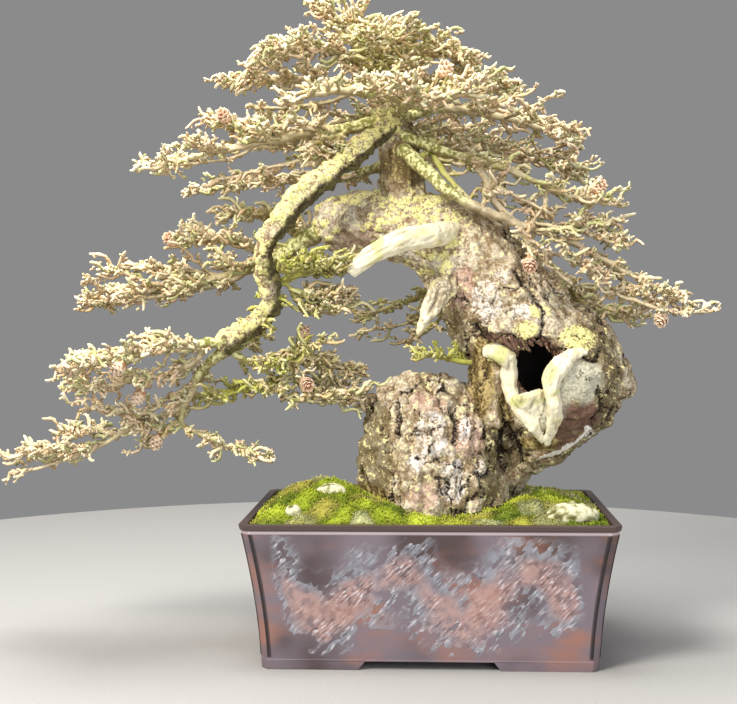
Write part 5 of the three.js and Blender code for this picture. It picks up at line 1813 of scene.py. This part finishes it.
@dataclass
class Deadwood:
    """The two stubs and the hollow's lips, with grain along them."""

    net: float = 1.5
    grain: float = 1.2

    def build(self, wood: Finish) -> None:
        """Makes a piece for each deadwood node.

        Args:
            wood: The bare wood's finish.
        """
        for name, along, worn in DEADWOOD:
            skin = remeshed(f"deadwood_{name}", self.net, 6)
            p = skin.points
            way = unit(np.array(along))
            squeezed = p - way * (p @ way * 0.88)[:, None]
            line = rough_noise(squeezed, 4.0, 71, 3)
            lumps = soft_noise(p, 12.0, 73)
            pits = billow(p - way * (p @ way * 0.75)[:, None], 5.0, 77, 2) - 0.6
            height = self.grain * (1 + 1.2 * worn) * line + 1.0 * lumps + 0.8 * pits
            height -= worn * 1.6 * ease(-line, 0.1, 0.5)
            for place, size, high in LIP_LOBES:
                height += high * np.exp(-np.sum(((p - place) / size) ** 2, axis=1))
            skin.points = p + outward(skin) * height[:, None]
            skin.marks = {
                # Darker in the grain's low lines and pits: partly open checks, partly painted shade.
                "shade": np.maximum(ease(-line, 0.2, 0.75), ease(-pits, 0.3, 0.6)) * (0.7 + 0.3 * worn),
                "worn": np.full(len(p), worn) * ease(p[:, 0], -10, 8),
                "lichen": ease(soft_noise(p, 14.0, 75), 0.1, 0.6),
            }
            piece(f"bleached_{name}", skin, wood, [f"deadwood_{name}"])


# Pot, soil, moss and stones

class Wall(Enum):
    """The pot's walls: the axis that each faces along, to which side, and its net in millimetres."""

    FRONT = (1, -1.0, 2.0)
    BACK = (1, 1.0, 4.0)
    LEFT = (0, -1.0, 3.2)
    RIGHT = (0, 1.0, 3.2)


@dataclass
class Pot:
    """The pot's four panels with a rough, gouged relief, fitted over the CAD pot's walls."""

    rim_half: Span = (210.0, 145.0)
    base_half: Span = (189.0, 124.0)
    flare_power: float = 1.65
    height: float = 165.0
    notch: float = 8.0
    inset: float = 1.4
    low: float = 12.5
    high: float = 157.5
    relief: float = 2.6
    back: float = 5.5
    border_run: float = 190.0  # the half run of each wall that its end borders are counted in

    def half(self, z: Array, axis: int) -> Array:
        """Half the width or depth at a height: the base plus the flare times (z / height)^power."""
        grow = self.rim_half[axis] - self.base_half[axis]
        return self.base_half[axis] + grow * (z / self.height) ** self.flare_power

    def panel(self, axis: int, sign: float, net: float) -> Skin:
        """One wall as a grid of places: s runs along the wall and z up, and the relief stands off it.

        Args:
            axis: 1 for the front and back walls, 0 for the side walls.
            sign: -1 for the front or left wall, 1 for the back or right one.
            net: Width of the grid's faces in millimetres.

        Returns:
            The panel's skin.
        """
        across = 1 - axis
        columns = int(2 * self.rim_half[across] / net)
        rows = int((self.high - self.low) / net)
        s, t = np.meshgrid(np.linspace(-1, 1, columns), np.linspace(0, 1, rows))
        z = self.low + (self.high - self.low) * t.ravel()
        run = s.ravel() * (self.half(z, across) - self.notch - 1.2)
        wall = self.half(z, axis) - self.inset
        flat = np.zeros((len(z), 3))
        flat[:, across] = run
        flat[:, axis] = sign * wall
        flat[:, 2] = z
        border = (1 - np.abs(s.ravel())) * self.border_run
        edge = np.minimum.reduce([z - self.low, self.high - z, border])
        fade = ease(edge, 0, 7)
        # Groove marks the panels' side borders, where the finish paints the notches' shadow.
        groove = (1 - ease(border, 3.0, 5.5)) * ease(np.minimum(z - self.low, self.high - z), 0, 3)
        wave = np.abs((run / 150 + 0.25 * sign + 0.5 * axis) % 1 * 2 - 1)
        middle = 52 + 62 * wave + 6 * np.sin(run / 13 + 2)
        patch_value = 1 - np.abs(z - middle) / 44 + 0.9 * rough_noise(flat, 38.0, 81 + 2 * sign, 3)
        patch_value = patch_value - 1.6 * ease(border, 34, 8)
        raised = ease(patch_value, 0.25, 0.95) * fade
        halo = ease(patch_value, -0.5, 0.3) * (1 - raised) * fade
        slant, cross = (run + z) / math.sqrt(2), (z - run) / math.sqrt(2)
        turned = np.stack([slant, cross, 0 * z], axis=1)
        stroke = rough_noise(turned, (14.0, 5.0, 9.0), 85 + sign, 2)
        crumb = rough_noise(flat, 6.0, 88, 2)
        rough = np.maximum(raised, halo) * ease(rough_noise(flat, 22.0, 89 + sign, 2), -0.5, 0.2)
        off = 0.2 * fade + 0.7 * raised + rough * (1.4 * stroke + 0.6 * crumb) - 0.45 * (1 - fade)
        off = np.maximum(off, 1.55 * groove - 0.4)
        flat[:, axis] += sign * np.clip(off, -0.45, self.relief)
        sink = np.zeros(3)
        sink[axis] = -sign * self.back
        marks = {
            "raised": raised, "halo": halo, "rough": rough, "slant": slant * MM, "cross": cross * MM,
            "groove": groove,
        }
        skin = slab(flat, columns, rows, sink, marks)
        if (axis == 0) == (sign < 0):
            skin.faces = [f[:, ::-1] for f in skin.faces]
        return skin

    def build(self, clay: Finish) -> None:
        """Dresses the CAD pot, rounds its edges, and makes the panels.

        Args:
            clay: The stoneware's finish.
        """
        body = dressed("pot", clay)
        weld = body.modifiers.new("weld", "WELD")
        weld.merge_threshold = 1e-6
        soften = body.modifiers.new("soften", "BEVEL")
        soften.width = 0.9 * MM
        soften.segments = 2
        soften.limit_method = "ANGLE"
        soften.angle_limit = math.radians(34)
        for wall in Wall:
            name = f"pot_panel_{wall.name.lower()}"
            piece(name, self.panel(*wall.value), clay, [])


@dataclass
class MossBed:
    """Moss cushions: the swells of the soil's cover, with many small upright points."""

    swells: tuple[tuple[float, float, float, float, float], ...] = (
        (-122, -40, 64, 60, 37), (-60, -96, 48, 34, 12), (140, 10, 46, 66, 19),
        (118, -70, 46, 40, 12), (-40, 86, 70, 40, 18), (70, 96, 52, 36, 14),
    )  # x, y, their widths and the height of each, in millimetres
    edge: float = 163.0
    inner_half: Span = (198.0, 133.0)
    split: Span = (-92.0, 112.0)
    net: float = 3.4
    spacing: float = 8.6  # square millimetres to each point
    point_length: float = 3.6
    point_radius: float = 1.15
    cushion: float = 34.0
    tuft: float = 9.0

    def ground(self, x: Array, y: Array) -> tuple[Array, Array, Array]:
        """The cover: bell-shaped swells, pillows and tufts over a level that falls off to the rim.

        Args:
            x: Places across the pot in millimetres.
            y: Places along its depth.

        Returns:
            The height, each place's own cushion draw, and how far it is from a gap, 0 to 1.
        """
        total = np.zeros_like(x)
        for cx, cy, sx, sy, high in self.swells:
            total += high * np.exp(-(((x - cx) / sx) ** 2) - ((y - cy) / sy) ** 2)
        from_x = np.minimum(1, (self.inner_half[0] + 3 - np.abs(x)) / 26)
        from_y = np.minimum(1, (self.inner_half[1] + 3 - np.abs(y)) / 26)
        inside = np.sqrt(np.clip(np.minimum(from_x, from_y), 0, 1))
        flat = np.stack([x, y, 0 * x], axis=1)
        crooked = flat + 5 * strayed(flat, 15.0, 92) * [1, 1, 0]
        pillow, own = cracked(crooked, self.cushion, 95)
        tuft, _ = cracked(crooked, self.tuft, 96)
        round_pillow, round_tuft = np.sqrt(ease(pillow, 0, 0.7)), np.sqrt(ease(tuft, 0, 0.8))
        high = 6.0 * (round_pillow - 0.55) + 2.2 * (round_tuft - 0.5) + 1.2 * rough_noise(flat, 7.0, 97, 2)
        gap = np.clip(0.25 + 0.75 * round_pillow * (0.45 + 0.55 * round_tuft), 0, 1)
        return self.edge + inside * (total + 4 + high) - 1.0, own, gap

    def patch(self, low: Span, high: Span, seed: int) -> Skin:
        """One cushion: a grid of heights, and points scattered over it by draws.

        Args:
            low: Its least x and y.
            high: Its greatest x and y.
            seed: Its number, for the draws.

        Returns:
            The cushion's skin.
        """
        wide, deep = high[0] - low[0], high[1] - low[1]
        columns, rows = int(wide / self.net), int(deep / self.net)
        x, y = np.meshgrid(np.linspace(low[0], high[0], columns), np.linspace(low[1], high[1], rows))
        x, y = x.ravel(), y.ravel()
        z, own, gap = self.ground(x, y)
        front = np.stack([x, y, z], axis=1)
        # The bed under the points is darker in the gaps: painted shade.
        bed = slab(front, columns, rows, -6.0 * UP, {"tip": 0.45 * gap, "hue": own})
        n = np.arange(int(wide * deep / self.spacing)) + 20000.0 * seed
        px = low[0] + wide * draw(n, 91)
        py = low[1] + deep * draw(n, 92)
        z, own, gap = self.ground(px, py)
        lean = unit(np.stack([draw(n, 93) - 0.5, draw(n, 94) - 0.5, np.full(len(n), 0.75)], axis=1))
        long = self.point_length * (0.6 + 0.8 * draw(n, 95))
        q = np.array([0.0, 1.0])
        foot = np.stack([px, py, z - 1.0], axis=1)
        paths = foot[:, None] + mix((lean[:, None], long[:, None] * q))
        radii = np.tile([self.point_radius, 0.3], (len(n), 1))
        # Points in the gaps between cushions, and the feet of all points, are darker: painted shade.
        bright = gap * (0.7 + 0.4 * draw(n, 96))
        marks = {"tip": bright[:, None] * [0.3, 1.0], "hue": (own + 0.16 * (draw(n, 98) - 0.5))[:, None]}
        return bed.joined(bundle(paths, radii, 3, marks))

    def build(self, moss: Finish) -> None:
        """Makes the four cushions.

        Args:
            moss: The moss's finish.
        """
        wide, deep = self.inner_half[0] - 0.8, self.inner_half[1] - 0.8
        left, right = self.split
        places = {
            "left": ((-wide, -deep), (left, deep)), "right": ((right, -deep), (wide, deep)),
            "front": ((left, -deep), (right, 0.0)), "back": ((left, 0.0), (right, deep)),
        }
        for seed, (name, (low, high)) in enumerate(places.items()):
            piece(f"moss_cushion_{name}", self.patch(low, high, seed), moss, [f"moss_{name}"])


@dataclass
class Stones:
    """Stones in the moss, each a sphere pushed out by layered noise and a grain of lichen."""

    rings: int = 28
    sides: int = 48
    places: tuple[tuple[str, tuple[float, ...], tuple[float, ...]], ...] = (
        ("stone_right", (160, -102, 170), (30, 17, 15)),
        ("stone_left", (-112, -66, 190), (18, 12, 11)),
        ("stone_left_small", (-152, -106, 174), (9, 8, 8)),
    )  # node, middle and half sizes

    def build(self, crust: Finish) -> None:
        """Makes each stone on a grid of angles: (cos a cos b, sin a cos b, sin b) times its radii.

        Args:
            crust: The lichen's finish.
        """
        b = np.repeat(np.linspace(-np.pi / 2, np.pi / 2, self.rings), self.sides)
        a = np.tile(2 * np.pi * np.arange(self.sides) / self.sides, self.rings)
        ring = np.stack([np.cos(b) * np.cos(a), np.cos(b) * np.sin(a), np.sin(b)], axis=1)
        walls = tube_walls(self.rings, self.sides)
        for name, middle, radii in self.places:
            flat = ring * radii
            lump = rough_noise(flat + middle, 5.0, 97, 3)
            broad = rough_noise(flat + middle, 16.0, 98, 2)
            points = middle + mix((flat, 1 + 0.12 * broad), (ring, 1.3 * lump))
            skin = Skin(points, [walls], {"lump": ease(lump, -0.7, 0.6)})
            piece(f"lichened_{name}", skin, crust, [name])


@dataclass
class Soil:
    """Granules of baked clay in the gutter between the moss and the rim."""

    half: Span = (199.5, 134.5)
    top: float = 153.5
    width: float = 9.0
    count: int = 520
    size: float = 2.8

    def build(self, clay: Finish) -> None:
        """Makes the granules as small double cones of five sides, and dresses the CAD soil.

        A draw gives each one its place t along the gutter's outer edge, and another how far in it lies.

        Args:
            clay: The soil's finish.
        """
        dressed("soil", clay)
        n = np.arange(self.count)
        wide, deep = 2 * self.half[0], 2 * self.half[1]
        t = draw(n, 101) * 2 * (wide + deep)
        corners = [0.0, wide, wide + deep, 2 * wide + deep, 2 * (wide + deep)]
        x = np.interp(t, corners, [-wide / 2, wide / 2, wide / 2, -wide / 2, -wide / 2])
        y = np.interp(t, corners, [-deep / 2, -deep / 2, deep / 2, deep / 2, -deep / 2])
        inward = self.width * draw(n, 102)
        shrink = np.stack([1 - inward / self.half[0], 1 - inward / self.half[1]], axis=1)
        z = self.top + 7.0 * draw(n, 103) * ease(inward, 0, 6)
        middle = np.stack([x * shrink[:, 0], y * shrink[:, 1], z], axis=1)
        way = unit(np.stack([draw(n, 104 + k) - 0.5 for k in range(3)], axis=1))
        radius = self.size * (0.6 + 0.7 * draw(n, 107))
        q = np.array([-0.8, 0.0, 0.75])
        paths = middle[:, None] + mix((way[:, None], radius[:, None] * q))
        radii = radius[:, None] * np.array([0.5, 1.0, 0.45])
        granules = bundle(paths, radii, 5, {"tint": draw(n, 108)[:, None]})
        piece("soil_granules", granules, clay, [], smooth=False)


# Studio

class Lamp(Enum):
    """The soft lights: where each stands in metres, its width, its power in watts and its colour."""

    KEY = ((-1.3, -1.6, 1.95), 0.8, 87.0, "#fff8ee")
    FILL = ((0.9, -2.2, 0.8), 1.5, 26.0, "#f6f7ff")
    TOP = ((-0.1, 0.0, 2.1), 1.0, 48.0, "#ffffff")


@dataclass
class Studio:
    """The camera, three soft lights, a grey room and a pale floor."""

    eye: tuple[float, float, float] = (5.45, -1514.3, 395.0)
    yaw: float = 0.0513
    pitch: float = 0.0296
    roll: float = -0.0046
    focal_pixels: float = 1264.4
    picture: tuple[int, int] = (737, 704)
    sensor: float = 36.0
    aim_height: float = 0.4
    floor_radius: float = 1.15
    floor_sides: int = 128
    floor_depth: float = 0.004
    floor_tones: tuple[str, str] = ("#a9a8a6", "#b0afac")
    room: str = "#8b8b8c"

    def camera(self) -> None:
        """A camera whose axes are turned left by yaw, down by pitch and about its line by roll."""
        level = math.cos(self.pitch)
        ahead = np.array([-math.sin(self.yaw) * level, math.cos(self.yaw) * level, -math.sin(self.pitch)])
        right = unit(np.cross(ahead, UP))
        up = np.cross(right, ahead)
        c, s = math.cos(self.roll), math.sin(self.roll)
        right, up = right * c + up * s, up * c - right * s
        lens = bpy.data.cameras.new("camera")
        lens.sensor_width = self.sensor
        lens.lens = self.focal_pixels / max(self.picture) * self.sensor
        made = placed("camera", lens)
        turned = Matrix(np.column_stack([right, up, -ahead]).tolist()).to_4x4()
        turned.translation = np.array(self.eye) * MM + SHIFT
        made.matrix_world = turned
        bpy.context.scene.camera = made

    def lights(self) -> None:
        """Area lights that face the tree's middle, and the grey room's own light."""
        aim = SHIFT + UP * self.aim_height
        for lamp in Lamp:
            place, width, power, colour = lamp.value
            data = bpy.data.lights.new(lamp.name.lower(), "AREA")
            data.size = width
            data.energy = power
            data.color = linear(colour)[:3]
            made = placed(data.name, data)
            made.location = place
            back = unit(np.array(place) - aim)
            side = unit(np.cross(UP, back))
            rise = np.cross(back, side)
            made.rotation_mode = "QUATERNION"
            turned = Matrix(np.column_stack([side, rise, back]).tolist())
            made.rotation_quaternion = turned.to_quaternion()
        world = bpy.data.worlds.new("room")
        world.use_nodes = True
        back = world.node_tree.nodes["Background"]
        back.inputs["Color"].default_value = linear(self.room)
        back.inputs["Strength"].default_value = 1.0
        bpy.context.scene.world = world

    def floor(self) -> None:
        """A pale round floor, with its top on the standing surface."""
        sides = self.floor_sides
        a = 2 * np.pi * np.arange(sides) / sides
        ring = np.stack([np.cos(a), np.sin(a)], axis=1) * self.floor_radius
        points = [(*xy, 0.0) for xy in ring] + [(*xy, -self.floor_depth) for xy in ring]
        faces = [tuple(range(sides)), tuple(range(2 * sides - 1, sides - 1, -1))]
        faces += [(k, k + sides, (k + 1) % sides + sides, (k + 1) % sides) for k in range(sides)]
        mesh = bpy.data.meshes.new("floor")
        mesh.from_pydata(points, [], faces)
        p = Palette("matt_floor", roughness=0.7, specular=0.2)
        grain = p.noise(3, 2)
        p.colour = p.blend(p.between(grain, 0.3, 0.8), *self.floor_tones)
        mesh.materials.append(p.finish(grain, 0.05))
        made = placed("floor", mesh)

    def build(self) -> None:
        """Sets up the studio, with plain colours that aren't toned."""
        self.camera()
        self.lights()
        self.floor()
        bpy.context.scene.view_settings.view_transform = "Standard"


def main() -> None:
    logging.basicConfig(level=logging.INFO, format="%(name)s: %(message)s")
    Studio().build()
    Pot().build(Stoneware().make())
    Soil().build(BakedSoil().make())
    MossBed().build(Moss().make())
    Stones().build(LichenStone().make())
    Trunk().build(LarchBark().make())
    Deadwood().build(BleachedWood().make())
    Branches().build(Twigs().make(), Cones().make())
    screen = ScreenMesh().make()
    for side in ("left", "right"):
        dressed(f"drain_screen_{side}", screen)


if __name__ == "__main__":
    main()
